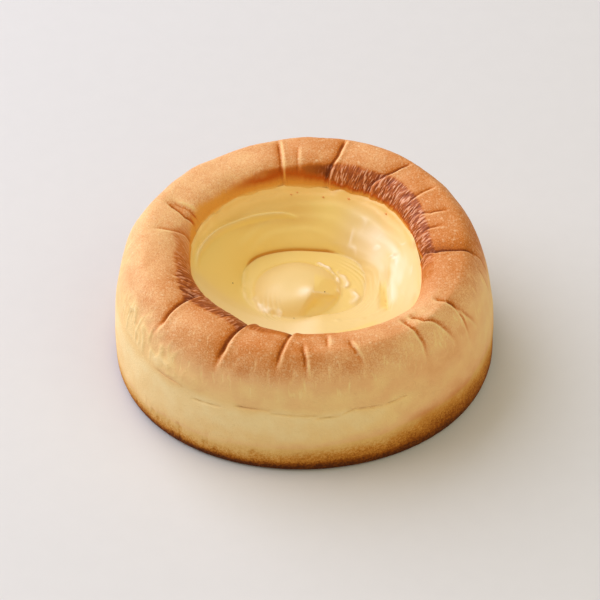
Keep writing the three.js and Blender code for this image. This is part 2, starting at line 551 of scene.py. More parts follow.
class Effects:
    """Shader groups that more than one finish uses, with sizes in millimetres."""

    @staticmethod
    def start(
        name: str, inputs: dict[str, float], outputs: tuple[str, ...]
    ) -> tuple[NodeSheet, Node, Node, Socket]:
        """Starts a shader group.

        Args:
            name: Its name.
            inputs: Its number inputs with their usual values.
            outputs: Its number outputs.

        Returns:
            The sheet of the group, its input and output nodes, and the place on the object.
        """
        tree = bpy.data.node_groups.new(name, "ShaderNodeTree")
        for label, value in inputs.items():
            socket = tree.interface.new_socket(label, in_out="INPUT", socket_type="NodeSocketFloat")
            socket.default_value = value
        for label in outputs:
            tree.interface.new_socket(label, in_out="OUTPUT", socket_type="NodeSocketFloat")
        sheet = NodeSheet(tree)
        place = sheet.add("ShaderNodeTexCoord").outputs["Object"]
        return sheet, sheet.add("NodeGroupInput"), sheet.add("NodeGroupOutput"), place

    @classmethod
    def mottle(cls) -> bpy.types.ShaderNodeTree:
        """Makes soft patches and fine grain, each from 0 to 1.

        Returns:
            The group.
        """
        if "mottle" in bpy.data.node_groups:
            return bpy.data.node_groups["mottle"]
        sizes = {"Patch": 6.0, "Grain": 0.6}
        sheet, start, end, place = cls.start("mottle", sizes, ("Patches", "Grains"))
        for label, source, detail in (("Patches", "Patch", 3.0), ("Grains", "Grain", 2.0)):
            scale = sheet.maths("DIVIDE", 1.0 / MM, start.outputs[source])
            sheet.feed(end, {label: sheet.ramp(sheet.noise(place, scale, detail), 0.15, 0.85)})
        return sheet.tree

    @classmethod
    def dots(cls) -> bpy.types.ShaderNodeTree:
        """Makes round dots of uneven size, 1 in the dot and 0 outside.

        Returns:
            The group.
        """
        if "dots" in bpy.data.node_groups:
            return bpy.data.node_groups["dots"]
        sheet, start, end, place = cls.start("dots", {"Pitch": 1.2, "Reach": 0.35}, ("Dots",))
        scale = sheet.maths("DIVIDE", 1.0 / MM, start.outputs["Pitch"])
        cells = sheet.add("ShaderNodeTexVoronoi", {"Vector": place, "Scale": scale})
        chance = sheet.add("ShaderNodeSeparateColor", {"Color": cells.outputs["Color"]}).outputs[0]
        reach = sheet.times(start.outputs["Reach"], chance)
        inside = sheet.maths("SUBTRACT", reach, cells.outputs["Distance"])
        sheet.feed(end, {"Dots": sheet.ramp(inside, 0.0, 0.08)})
        return sheet.tree


def new_finish(name: str) -> tuple[bpy.types.Material, NodeSheet, Node]:
    """Starts a material.

    Args:
        name: Its name.

    Returns:
        The material, its sheet and its shader.
    """
    made = bpy.data.materials.new(name)
    made.use_nodes = True
    return made, NodeSheet(made.node_tree), made.node_tree.nodes["Principled BSDF"]


@dataclass(frozen=True)
class CrustFinish:
    """Baked crust, from pale dough at 0 to dark brown at 1, values that also carry painted shade and
    painted highlights.
    """

    tones: Tones = (
        (0.0, (250, 225, 168)),
        (0.2, (244, 205, 138)),
        (0.35, (236, 182, 123)),
        (0.47, (218, 149, 90)),
        (0.62, (196, 112, 36)),
        (0.8, (146, 72, 8)),
        (1.0, (100, 44, 4)),
    )
    foot: Tones = (
        (0.0, (250, 225, 168)),
        (0.2, (244, 205, 138)),
        (0.4, (230, 182, 106)),
        (0.6, (202, 134, 50)),
        (0.8, (150, 80, 8)),
        (1.0, (84, 36, 4)),
    )
    # Colour of the painted glints on the pebbles and blisters.
    glint_fleck: Tint = (253, 218, 166)
    film: tuple[Tint, Tint, Tint] = ((190, 86, 0), (228, 158, 64), (242, 198, 112))
    lip: Tint = (196, 104, 58)
    glint: Tint = (250, 198, 164)
    roughness: Station = (0.6, 0.42)
    wrinkle: float = 0.5

    def build(self) -> bpy.types.Material:
        """Builds the material.

        Returns:
            The material.
        """
        made, sheet, shader = new_finish("baked_crust")
        skin, crinkle, foot = (sheet.stored(mask) for mask in (Mask.SKIN, Mask.CRINKLE, Mask.FOOT))
        mottle = sheet.group(Effects.mottle(), {"Patch": 5.0, "Grain": 0.32})
        pebbles = sheet.group(Effects.dots(), {"Pitch": 0.7, "Reach": 0.6}).outputs["Dots"]
        blisters = sheet.group(Effects.dots(), {"Pitch": 1.7, "Reach": 0.3}).outputs["Dots"]
        streaks = sheet.noise(sheet.stored(Mask.MERIDIAN, "Vector"), 1.25, 1.0)
        marks = sheet.times(sheet.ramp(streaks, 0.63, 0.72), sheet.stored(Mask.STRETCH))
        ripple = sheet.noise(sheet.stored(Mask.WRAP, "Vector"), 1.0 / self.wrinkle, 1.5, 0.5)
        bake_and_shade = sheet.stored(Mask.BAKE)
        tone = self.baked(sheet, mottle, marks, ripple)
        # Pale flecks on the pebbles and blisters are painted glints, left off the darkest crust.
        glint_fleck = sheet.maths("MULTIPLY_ADD", pebbles, 0.2, sheet.times(blisters, 0.3))
        glint_fleck = sheet.times(sheet.times(glint_fleck, skin), sheet.ramp(bake_and_shade, 0.58, 0.72, (1.0, 0.0)))
        colour = sheet.mix(glint_fleck, tone, linear(self.glint_fleck))
        colour = sheet.mix(sheet.times(crinkle, 0.4), colour, linear(self.lip))
        glint = sheet.times(sheet.ramp(ripple, 0.53, 0.64, (0.0, 0.58)), crinkle)
        colour = self.filmed(sheet, sheet.mix(glint, colour, linear(self.glint)))
        relief = sheet.maths("MULTIPLY_ADD", pebbles, 0.6, mottle.outputs["Grains"])
        relief = sheet.maths("ADD", relief, sheet.maths("SUBTRACT", blisters, marks))
        bump = sheet.add("ShaderNodeBump", {"Strength": 0.45, "Distance": 0.00015, "Height": relief})
        rough = sheet.ramp(crinkle, 0.1, 0.9, self.roughness)
        inputs = {
            "Base Color": colour,
            "Roughness": sheet.maths("MULTIPLY_ADD", foot, 0.3, rough),
            "Coat Weight": sheet.ramp(crinkle, 0.1, 0.9, (0.0, 0.12)),
            "Normal": bump.outputs["Normal"],
            "Coat Roughness": 0.3,
            "Specular IOR Level": 0.15,
        }
        sheet.feed(shader, inputs)
        return made

    def baked(self, sheet: NodeSheet, mottle: Node, marks: Socket, ripple: Socket) -> Socket:
        """Gives the crust's colour, with its patches, grains, stretch marks and wrinkles, with painted
        shade in the wrinkles' valleys and painted light on their crests.

        Args:
            sheet: The material's sheet.
            mottle: The patches and grains of the crust.
            marks: Where the stretch marks are.
            ripple: The noise of the wrinkles.

        Returns:
            The colour.
        """
        foot = sheet.stored(Mask.FOOT)
        patches = sheet.ramp(mottle.outputs["Patches"], 0.0, 1.0, (-0.04, 0.04))
        grains = sheet.ramp(mottle.outputs["Grains"], 0.0, 1.0, (0.06, -0.09))
        speckle = sheet.group(Effects.mottle(), {"Patch": 0.7, "Grain": 0.3})
        speckle = sheet.maths("ADD", speckle.outputs["Patches"], speckle.outputs["Grains"])
        speckle = sheet.ramp(speckle, 0.4, 1.6, (-0.1, 0.09))
        # Painted shade in the valleys of the lip's wrinkles, painted light on their crests.
        valley = sheet.ramp(ripple, 0.36, 0.5, (0.24, 0.0))
        valley = sheet.maths("SUBTRACT", valley, sheet.ramp(ripple, 0.5, 0.62, (0.0, 0.2)))
        bake_and_shade = sheet.maths("ADD", sheet.stored(Mask.BAKE), patches)
        shares = (
            (grains, sheet.stored(Mask.SKIN)),
            (marks, -0.08),
            (valley, sheet.stored(Mask.CRINKLE)),
            (speckle, foot),
        )
        for value, share in shares:
            bake_and_shade = sheet.maths("MULTIPLY_ADD", value, share, bake_and_shade)
        top, bottom = (self.toned(sheet, bake_and_shade, tones) for tones in (self.tones, self.foot))
        return sheet.mix(sheet.ramp(foot, 0.0, 0.3), top, bottom)

    def filmed(self, sheet: NodeSheet, colour: Socket) -> Socket:
        """Covers the crust with the film of cream that is left on the well's wall.

        Args:
            sheet: The material's sheet.
            colour: The crust's colour.

        Returns:
            The colour with the film.
        """
        film = sheet.stored(Mask.FILM)
        glaze, thin, cream = (linear(tint) for tint in self.film)
        smear = sheet.mix(sheet.ramp(sheet.stored(Mask.BAKE), 0.44, 0.6), thin, glaze)
        smear = sheet.mix(sheet.ramp(film, 0.3, 0.75), smear, thin)
        smear = sheet.mix(sheet.ramp(film, 0.7, 0.98), smear, cream)
        return sheet.mix(sheet.ramp(film, 0.0, 0.4, (0.0, 0.95)), colour, smear)

    @staticmethod
    def toned(sheet: NodeSheet, bake_and_shade: Socket, tones: Tones) -> Socket:
        """Turns the bake into a colour.

        Args:
            sheet: The material's sheet.
            bake_and_shade: How far each place is baked, with painted shade and painted highlights added.
            tones: Bakes, each with a screen colour.

        Returns:
            The colour.
        """
        node = sheet.add("ShaderNodeValToRGB", {"Fac": bake_and_shade})
        elements = node.color_ramp.elements
        while len(elements) < len(tones):
            elements.new(0.5)
        for element, (place, tone) in zip(elements, tones):
            element.position = place
            element.color = linear(tone)
        return node.outputs["Color"]


@dataclass(frozen=True)
class CustardFinish:
    """Moist custard cream, warmer where it is thin over crust, with painted shade in its hollows and on
    its shaded walls and painted highlights where it is raised.
    """

    # Colour of the painted highlights.
    pale: Tint = (251, 232, 194)
    thick: Tint = (234, 204, 134)
    # Colour of the painted shade on the shaded walls.
    wall: Tint = (238, 207, 120)
    # Colour of the painted shade along the foot of the back wall.
    crease_shade: Tint = (198, 128, 0)
    film: Tint = (242, 198, 112)
    roughness: Station = (0.38, 0.5)

    def build(self) -> bpy.types.Material:
        """Builds the material.

        Returns:
            The material.
        """
        made, sheet, shader = new_finish("custard_cream")
        mottle = sheet.group(Effects.mottle(), {"Patch": 7.0, "Grain": 2.4})
        painted_shade_and_highlight = sheet.stored(Mask.PAINTED_SHADE_AND_HIGHLIGHT)
        # Below 0 the stored value gives painted highlights, above 0 painted shade.
        painted_light_tone = sheet.mix(sheet.ramp(painted_shade_and_highlight, -1.0, 0.0), linear(self.pale), linear(self.thick))
        painted_light_tone = sheet.mix(sheet.ramp(painted_shade_and_highlight, 0.0, 0.5), painted_light_tone, linear(self.wall))
        painted_light_tone = sheet.mix(sheet.ramp(painted_shade_and_highlight, 0.5, 1.0), painted_light_tone, linear(self.crease_shade))
        grains = {"Strength": 0.12, "Distance": 0.00015, "Height": mottle.outputs["Grains"]}
        inputs = {
            "Base Color": sheet.mix(sheet.stored(Mask.FILM), painted_light_tone, linear(self.film)),
            "Roughness": sheet.ramp(mottle.outputs["Patches"], 0.0, 1.0, self.roughness),
            "Normal": sheet.add("ShaderNodeBump", grains).outputs["Normal"],
            "Specular IOR Level": 0.45,
        }
        sheet.feed(shader, inputs)
        return made


@dataclass(frozen=True)
class PlainFinish:
    """A plain finish with one colour, mottled a little."""

    name: str
    colour: Tint
    roughness: float = 0.6

    def build(self) -> bpy.types.Material:
        """Builds the material.

        Returns:
            The material.
        """
        made, sheet, shader = new_finish(self.name)
        patches = sheet.group(Effects.mottle(), {}).outputs["Patches"]
        light = linear(self.colour)
        dark = tuple(c * 0.8 for c in light[:3]) + (1.0,)
        colour = sheet.mix(sheet.ramp(patches, 0.0, 1.0, (0.0, 0.06)), light, dark)
        sheet.feed(shader, {"Base Color": colour, "Roughness": self.roughness})
        return made


class Relief:
    """Geometry Nodes trees that add fine relief and scattered pieces."""

    @staticmethod
    def start(name: str, inputs: dict[str, str]) -> tuple[NodeSheet, Node]:
        """Starts a Geometry Nodes tree with a geometry and a material among its inputs.

        Args:
            name: Its name.
            inputs: Its other inputs, each with a socket type.

        Returns:
            The sheet of the tree and its input node.
        """
        made = bpy.data.node_groups.new(name, "GeometryNodeTree")
        kinds = {"Geometry": "NodeSocketGeometry"} | inputs | {"Material": "NodeSocketMaterial"}
        for label, kind in kinds.items():
            made.interface.new_socket(label, in_out="INPUT", socket_type=kind)
        made.interface.new_socket("Geometry", in_out="OUTPUT", socket_type="NodeSocketGeometry")
        sheet = NodeSheet(made)
        return sheet, sheet.add("NodeGroupInput")

    @staticmethod
    def finish(sheet: NodeSheet, start: Node, shaped: Socket) -> bpy.types.GeometryNodeTree:
        """Ends a tree: realizes its instances and sets its material.

        Args:
            sheet: The sheet of the tree.
            start: Its input node.
            shaped: The geometry that it made.

        Returns:
            The tree.
        """
        realized = sheet.add("GeometryNodeRealizeInstances", {"Geometry": shaped}).outputs[0]
        inputs = {"Geometry": realized, "Material": start.outputs["Material"]}
        dressed = sheet.add("GeometryNodeSetMaterial", inputs).outputs[0]
        sheet.add("NodeGroupOutput", {"Geometry": dressed})
        return sheet.tree

    @staticmethod
    def apply(
        made: bpy.types.Object, tree: bpy.types.GeometryNodeTree, values: dict[str, Any], name: str
    ) -> bpy.types.Mesh:
        """Runs a tree on an object and keeps the result as a plain mesh.

        Args:
            made: The object that it runs on.
            tree: The tree.
            values: Its inputs by name.
            name: The new mesh's name.

        Returns:
            The plain mesh.
        """
        modifier = made.modifiers.new(tree.name, "NODES")
        modifier.node_group = tree
        for item in tree.interface.items_tree:
            if item.item_type == "SOCKET" and item.in_out == "INPUT" and item.name in values:
                modifier[item.identifier] = values[item.name]
        graph = bpy.context.evaluated_depsgraph_get()
        graph.update()
        plain = bpy.data.meshes.new_from_object(made.evaluated_get(graph), depsgraph=graph)
        plain.name = name
        made.modifiers.remove(modifier)
        return plain

    @classmethod
    def crust(cls) -> bpy.types.GeometryNodeTree:
        """Builds the tree that wrinkles the brown lip and blisters the crust along the normals.

        Returns:
            The tree.
        """
        labels = ("Wrinkle Height", "Wrinkle Pitch", "Blister Height", "Blister Size")
        sheet, start = cls.start("crust_relief", dict.fromkeys(labels, "NodeSocketFloat"))
        pitch = sheet.maths("DIVIDE", 1.0, start.outputs["Wrinkle Pitch"])
        size = sheet.maths("DIVIDE", 1.0 / MM, start.outputs["Blister Size"])
        place = sheet.add("GeometryNodeInputPosition").outputs[0]
        wrinkle = sheet.noise(sheet.named(Mask.WRAP, "FLOAT_VECTOR"), pitch, 1.5, 0.5)
        blister = sheet.noise(place, size, 2.0)
        heights = []
        for noise, mask, label in (
            (wrinkle, Mask.CRINKLE, "Wrinkle Height"),
            (blister, Mask.SKIN, "Blister Height"),
        ):
            rise = sheet.times(sheet.maths("SUBTRACT", noise, 0.5), sheet.named(mask, "FLOAT"))
            heights.append(sheet.times(rise, start.outputs[label]))
        normal = sheet.add("GeometryNodeInputNormal").outputs[0]
        inputs = {0: normal, "Scale": sheet.maths("ADD", *heights)}
        offset = sheet.add("ShaderNodeVectorMath", inputs, operation="SCALE").outputs[0]
        inputs = {"Geometry": start.outputs["Geometry"], "Offset": offset}
        return cls.finish(sheet, start, sheet.add("GeometryNodeSetPosition", inputs).outputs[0])

    @classmethod
    def grains(cls) -> bpy.types.GeometryNodeTree:
        """Builds the tree that puts a small uneven grain on each point.

        Returns:
            The tree.
        """
        labels = {"Grain Radius": "NodeSocketFloat", "Seed": "NodeSocketInt"}
        sheet, start = cls.start("grains_on_points", labels)
        ball = {"Radius": start.outputs["Grain Radius"], "Subdivisions": 2}
        grain = sheet.add("GeometryNodeMeshIcoSphere", ball)
        ranges = (((0.8, 0.6, 0.4), (1.4, 1.0, 0.7)), ((0.0, 0.0, 0.0), (0.6, 0.6, 2.0 * math.pi)))
        size, turned = (
            sheet.add(
                "FunctionNodeRandomValue",
                {0: low, 1: high, "Seed": start.outputs["Seed"]},
                data_type="FLOAT_VECTOR",
            ).outputs[0]
            for low, high in ranges
        )
        inputs = {
            "Points": start.outputs["Geometry"],
            "Instance": grain.outputs["Mesh"],
            "Rotation": turned,
            "Scale": size,
        }
        return cls.finish(sheet, start, sheet.add("GeometryNodeInstanceOnPoints", inputs).outputs[0])


LEFT = SoftSide.LEFT
RIGHT = SoftSide.RIGHT
MOUTH = (Bay(-38.0, 2.8, 26.0), Bay(12.0, -1.0, 22.0), Bay(-125.0, -1.8, 32.0))
CREAM_RIM = 29.7
CREAM_LOBES = (Lobe(3, 0.8, 20.0),)


@dataclass
class BriocheBun:
    """The dough: a round side, a thick rolled rim with folds, and the well in its top."""

    radius: float = 51.4
    height: float = 38.0
    waist: float = 5.0
    base: float = 49.2
    crest: float = 42.2
    fullness: float = 2.1
    well_radius: float = 31.0
    well_waist: float = 24.5
    well_foot: float = 24.0
    well_floor: float = 9.0
    lip_reach: float = 36.5
    columns: int = 864
    rim_from: float = 23.0
    seam_from: float = 18.8
    rim_pitch: float = 0.62
    seam_pitch: float = 0.32
    side_pitch: float = 1.25
    lip_pitch: float = 0.42
    base_pitch: float = 16.0
    well_pitch: float = 3.4
    bulge_rise: float = 0.45
    tear_rise: float = 0.4
    mark_depth: float = 0.2
    seam_depth: float = 0.65
    pit_depth: float = 0.3
    mark_count: int = 80
    mark_seed: int = 5
    mark_levels: Station = (27.0, 35.0)
    mark_lengths: Station = (0.9, 2.6)
    mark_width: float = 0.26
    wrap_radius: float = 33.0
    wrinkle_height: float = 1.0
    blister_height: float = 0.2
    blister_size: float = 1.4
    shift: Station = (0.0, 0.0)
    outline: tuple[Lobe, ...] = (Lobe(2, 1.05, 11.0), Lobe(3, 0.65, -28.0))
    lean: tuple[Lobe, ...] = (Lobe(1, 0.8, 175.0), Lobe(2, 0.3, 90.0))
    level: tuple[Lobe, ...] = (Lobe(1, 0.25, -50.0), Lobe(2, 0.75, 25.0), Lobe(3, 0.35, 57.0))
    mouth: tuple[Bay, ...] = MOUTH
    folds: tuple[Fold, ...] = (
        Fold(((101.5, 32.0), (100.6, 37.3), (99.9, 44.0)), 0.9, LEFT),
        Fold(((93.5, 33.5), (93.0, 40.0)), 0.3, LEFT, 1.4),
        Fold(((78.8, 32.0), (77.8, 33.9), (75.7, 37.1), (74.8, 44.5)), 1.3, LEFT, 2.6),
        Fold(((56.6, 32.6), (52.9, 34.8), (49.7, 37.6), (46.6, 44.0)), 1.4, LEFT, 2.6),
        Fold(((32.0, 35.5), (30.7, 42.5)), 0.6, LEFT, 1.4),
        Fold(((23.5, 34.0), (18.9, 36.8), (16.6, 41.5)), 0.7, LEFT, 1.4),
        Fold(((11.8, 34.0), (9.1, 38.5)), 0.65, LEFT, 1.2),
        Fold(((0.0, 32.0), (-4.3, 35.2), (-4.9, 39.2), (-4.4, 43.3), (-3.4, 47.0)), 1.5, LEFT, 2.4),
        Fold(((-2.5, 46.0), (-1.0, 48.4), (0.5, 49.8)), 0.4, LEFT, 0.8, 1.2),
        Fold(((-8.0, 47.2), (-6.0, 49.4), (-4.5, 51.0)), 0.4, LEFT, 0.8, 1.2),
        Fold(((-31.5, 44.0), (-29.5, 46.2), (-26.5, 48.2), (-23.5, 49.6)), 0.55, LEFT, 1.0, 1.2),
        Fold(((-33.0, 40.0), (-31.7, 43.2), (-30.1, 46.0), (-28.8, 48.3), (-29.2, 49.8)), 0.8, LEFT, 1.2),
        Fold(
            ((-45.9, 38.5), (-44.5, 40.4), (-44.0, 42.8), (-40.5, 45.4), (-38.0, 47.3), (-35.7, 49.0)),
            1.1,
            LEFT,
            1.4,
        ),
        Fold(((-50.0, 38.6), (-49.8, 42.3), (-49.1, 45.3), (-48.0, 47.2), (-48.2, 48.6)), 1.0, LEFT, 1.3),
        Fold(((-73.2, 41.3), (-72.2, 44.5), (-70.8, 46.9)), 0.7, RIGHT, 1.3),
        Fold(((-81.2, 37.1), (-82.0, 41.9)), 0.5, RIGHT, 1.4),
        Fold(((-90.8, 41.9), (-90.0, 45.0), (-89.7, 47.6)), 0.8, RIGHT, 1.3),
        Fold(((-95.6, 33.5), (-97.5, 39.3), (-98.5, 43.2), (-99.5, 47.0)), 0.8, RIGHT, 1.4),
        Fold(((-116.0, 33.0), (-118.0, 39.8), (-118.1, 45.4), (-119.3, 47.8)), 1.7, RIGHT, 3.0),
        Fold(
            ((-147.0, 34.0), (-145.0, 37.0), (-143.0, 43.0), (-142.5, 46.4), (-143.7, 47.6)),
            1.6,
            RIGHT,
            2.4,
        ),
        Fold(((-126.5, 34.5), (-127.5, 39.0)), 0.35, RIGHT, 1.2),
        Fold(((-147.5, 34.0), (-151.5, 38.3)), 0.5, RIGHT, 1.2),
        Fold(((-152.5, 34.0), (-156.5, 38.8)), 0.5, RIGHT, 1.2),
        Fold(((-157.0, 34.3), (-160.5, 38.2)), 0.4, RIGHT, 1.2),
        Fold(((169.4, 33.0), (172.1, 36.3), (173.6, 40.5)), 0.6, RIGHT, 1.6),
        Fold(((158.6, 32.9), (159.9, 34.4), (158.8, 37.0), (158.2, 39.1), (157.4, 41.2)), 1.2, RIGHT, 2.0),
        Fold(((154.0, 33.2), (154.4, 35.4), (155.2, 37.6), (155.1, 39.6)), 0.7, LEFT, 1.2),
    )
    seam_steps: tuple[tuple[Station, Station], ...] = (
        ((-140.0, 22.6), (-128.0, 22.2)),
        ((-126.0, 19.4), (-116.0, 20.2)),
        ((-112.0, 21.9), (-100.0, 21.6)),
        ((-101.0, 20.8), (-86.0, 20.6)),
        ((-87.0, 19.4), (-79.0, 19.8)),
        ((-78.5, 20.2), (-74.0, 21.6)),
        ((-74.5, 21.4), (-66.0, 20.6)),
        ((-65.0, 20.4), (-57.0, 20.9)),
    )
    lip_brown: Stations = (
        (-178.0, 0.55), (-165.0, 0.85), (-135.0, 0.95), (-118.0, 0.75), (-100.0, 0.35),
        (-70.0, 0.12), (-40.0, 0.02), (-20.0, 0.1), (-8.0, 0.35), (0.0, 0.7), (15.0, 0.85),
        (35.0, 0.92), (60.0, 0.95), (90.0, 0.95), (108.0, 0.9), (122.0, 0.5), (138.0, 0.06),
        (158.0, 0.06), (168.0, 0.4),
    )
    lip_wrinkle: Stations = (
        (-178.0, 0.3), (-165.0, 0.55), (-135.0, 0.6), (-118.0, 0.4), (-100.0, 0.0),
        (-15.0, 0.0), (-6.0, 0.5), (4.0, 0.9), (15.0, 1.0), (62.0, 1.0), (73.0, 0.8),
        (79.0, 0.35), (86.0, 0.0), (160.0, 0.0), (170.0, 0.2),
    )
    lip_edge: Stations = (
        (-173.0, 34.9), (-160.0, 36.2), (-146.0, 37.6), (-132.0, 37.2), (-119.0, 37.6),
        (-98.0, 36.6), (-60.0, 34.8), (-20.0, 34.3), (0.0, 34.1), (15.0, 34.6), (30.0, 35.6),
        (44.0, 35.8), (55.0, 35.1), (90.0, 33.8), (107.0, 33.5), (130.0, 32.4), (173.0, 35.2),
    )
    film_height: Stations = (
        (-170.0, 1.2), (-120.0, 0.6), (-40.0, 0.6), (0.0, 1.6), (20.0, 2.4), (45.0, 2.8),
        (60.0, 3.0), (75.0, 3.6), (90.0, 5.4), (105.0, 6.4), (125.0, 6.0), (150.0, 5.4),
        (165.0, 4.2), (176.0, 2.4),
    )
    gold_foot: Stations = (
        (-175.0, 35.4), (-150.0, 30.0), (-126.0, 30.2), (-104.0, 31.8), (-91.0, 32.4),
        (-66.0, 30.3), (-45.0, 27.2), (-20.0, 27.5), (90.0, 30.0), (140.0, 31.5), (165.0, 36.6),
    )
    gold_depth: Stations = (
        (-175.0, 0.34), (-150.0, 0.42), (-120.0, 0.5), (-90.0, 0.55), (-65.0, 0.47),
        (-45.0, 0.37), (-28.0, 0.46), (0.0, 0.6), (45.0, 0.5), (90.0, 0.47), (140.0, 0.39),
    )
    brown_top: Stations = (
        (-153.0, 8.4), (-129.0, 8.6), (-91.0, 10.6), (-67.0, 12.0), (-53.0, 12.6),
        (-41.0, 13.2), (-32.0, 13.6), (-20.0, 13.6), (0.0, 12.4), (90.0, 9.0),
    )
    torn: Patch = Patch(-147.0, 17.0, 28.5, 5.0)
    pitted: Patch = Patch(-122.0, 34.0, 5.5, 4.0)
    bulge: Patch = Patch(-132.0, 9.0, 24.6, 2.6)
    shaded: Sector = Sector(-66.0, 34.0)
    flank: Sector = Sector(-14.0, 16.0)
    under: Sector = Sector(-46.0, 24.0)
    right_rim: Sector = Sector(-38.0, 26.0)
    blush: Sector = Sector(-152.0, 30.0)
    wrinkled: Sector = Sector(40.0, 62.0)
    cream_rim: float = CREAM_RIM
    cream_lobes: tuple[Lobe, ...] = CREAM_LOBES
    grain: Grain = Grain(11)
    made: bpy.types.Object | None = None

    def section(self) -> Array:
        """Draws the section from the middle of the base to the middle of the well.

        Returns:
            Radii and heights, closer together where the surface shows more.
        """
        edge = (self.base, 0.0)
        waist = (self.radius, self.waist)
        crest = (self.crest, self.height)
        mouth = (self.well_radius, self.well_waist)
        floor = (self.well_foot, self.well_floor)
        parts = (
            ((20.0, 0.0), (40.0, 0.0), edge),
            quarter(edge, waist, 4.0, True),
            quarter(waist, crest, self.fullness, False),
            quarter(crest, mouth, 2.8, True),
            quarter(mouth, floor, 2.4, False),
        )
        dense = np.vstack(parts)
        step = np.linalg.norm(np.diff(dense, axis=0), axis=1)
        radius, height = ((dense[1:] + dense[:-1]) / 2).T
        inside = radius < self.crest
        side = np.where(height > self.seam_from, self.seam_pitch, self.side_pitch)
        pitch = np.where(height > self.rim_from, self.rim_pitch, side)
        pitch = np.where(inside & (radius < self.lip_reach), self.lip_pitch, pitch)
        pitch = np.where((radius < 47.0) & (height < 0.1), self.base_pitch, pitch)
        pitch = np.where(inside & (height < 25.5), self.well_pitch, pitch)
        count = np.concatenate(((0.0,), np.cumsum(step / pitch)))
        places = np.linspace(0.0, count[-1], int(count[-1]) + 1)
        rows = np.column_stack([np.interp(places, count, dense[:, axis]) for axis in (0, 1)])
        return np.vstack(((0.0, 0.0), rows, (0.0, self.well_floor)))

    def angles(self) -> Array:
        """Spaces the columns round the bun, closer together at the folds and the wrinkled lip.

        Returns:
            The angles in degrees.
        """
        fine = np.linspace(-180.0, 180.0, 14401)
        density = 1.0 + 0.7 * self.wrinkled.share(fine)
        for fold in self.folds:
            middle = fold.path[len(fold.path) // 2][0]
            density += 0.9 * bell(turn(middle, fine), 0.0, 2.4)
        total = np.concatenate(((0.0,), np.cumsum((density[1:] + density[:-1]) / 2.0)))
        return np.interp(np.linspace(0.0, total[-1], self.columns, endpoint=False), total, fine)

    def form(self, at: Places) -> Array:
        """Places the section's points round the bun, with its uneven outline and level.

        Args:
            at: The places.

        Returns:
            Rows by columns of points.
        """
        angle, radius, height = at.angle, at.radius, at.height
        outward = smoothstep(radius, self.well_radius, self.radius)
        upward = height / self.height * smoothstep(radius, self.well_radius, self.crest)
        lean = uneven(self.lean, angle) * (height / self.height)
        mouth = np.minimum(1.0, radius / self.well_foot)
        mouth = mouth * fall(radius, self.well_radius + 1.0, self.crest + 8.0)
        far = radius + (uneven(self.outline, angle) + lean) * outward
        far = far + uneven(self.mouth, angle) * mouth * (height > 0.1)
        return wound(far, angle, height + uneven(self.level, angle) * upward)

    def seam(self, at: Places) -> Array:
        """Gives the strength of the cracks that run round the side in short steps.

        Args:
            at: The places.

        Returns:
            Values from 0 to 1.
        """
        depth = np.zeros(at.angle.shape)
        for (first, low), (last, high) in self.seam_steps:
            share = (at.angle - first) / (last - first)
            line = low + (high - low) * share
            ends = between(share, (-0.05, 0.15), (0.85, 1.05))
            above = np.maximum(at.height - line, 0.0)
            below = np.maximum(line - at.height, 0.0)
            depth = np.maximum(depth, ends * np.exp(-above / 0.26) * np.exp(-below / 0.14))
        return depth

    def marks(self, at: Places) -> Array:
        """Gives the strength of the short stretch marks under the rim.

        Args:
            at: The places.

        Returns:
            Values from 0 to 1.
        """
        chance = np.random.default_rng(self.mark_seed)
        strength = np.zeros(at.angle.shape)
        for _ in range(self.mark_count):
            middle = chance.uniform(-180.0, 180.0)
            level = chance.uniform(*self.mark_levels)
            length = chance.uniform(*self.mark_lengths)
            lean = chance.uniform(-0.5, 0.5)
            power = chance.uniform(0.3, 1.0)
            line = middle + lean * (at.height - level)
            across = np.radians(turn(line, at.angle)) * at.radius
            mark = power * bell(at.height, level, length, 4) * bell(across, 0.0, self.mark_width)
            strength = np.maximum(strength, mark)
        return strength * smoothstep(at.radius, self.crest + 1.0, self.crest + 3.0)

    def build(self) -> None:
        """Builds the mesh with its folds, marks and stored values."""
        section = self.section()
        columns = self.angles()[None, :]
        radius, height, angle = np.broadcast_arrays(section[:, :1], section[:, 1:], columns)
        at = Places(angle, radius, height)
        grid = self.form(at)
        normal = MeshMaker.normals(grid)
        step = np.linalg.norm(np.diff(section, axis=0), axis=1)
        length = np.concatenate(((0.0,), np.cumsum(step)))[:, None] + 0.0 * angle
        outside = radius > self.crest
        top = smoothstep(height, 20.0, 30.0)
        relief = sum(fold.rise(at) for fold in self.folds) * top
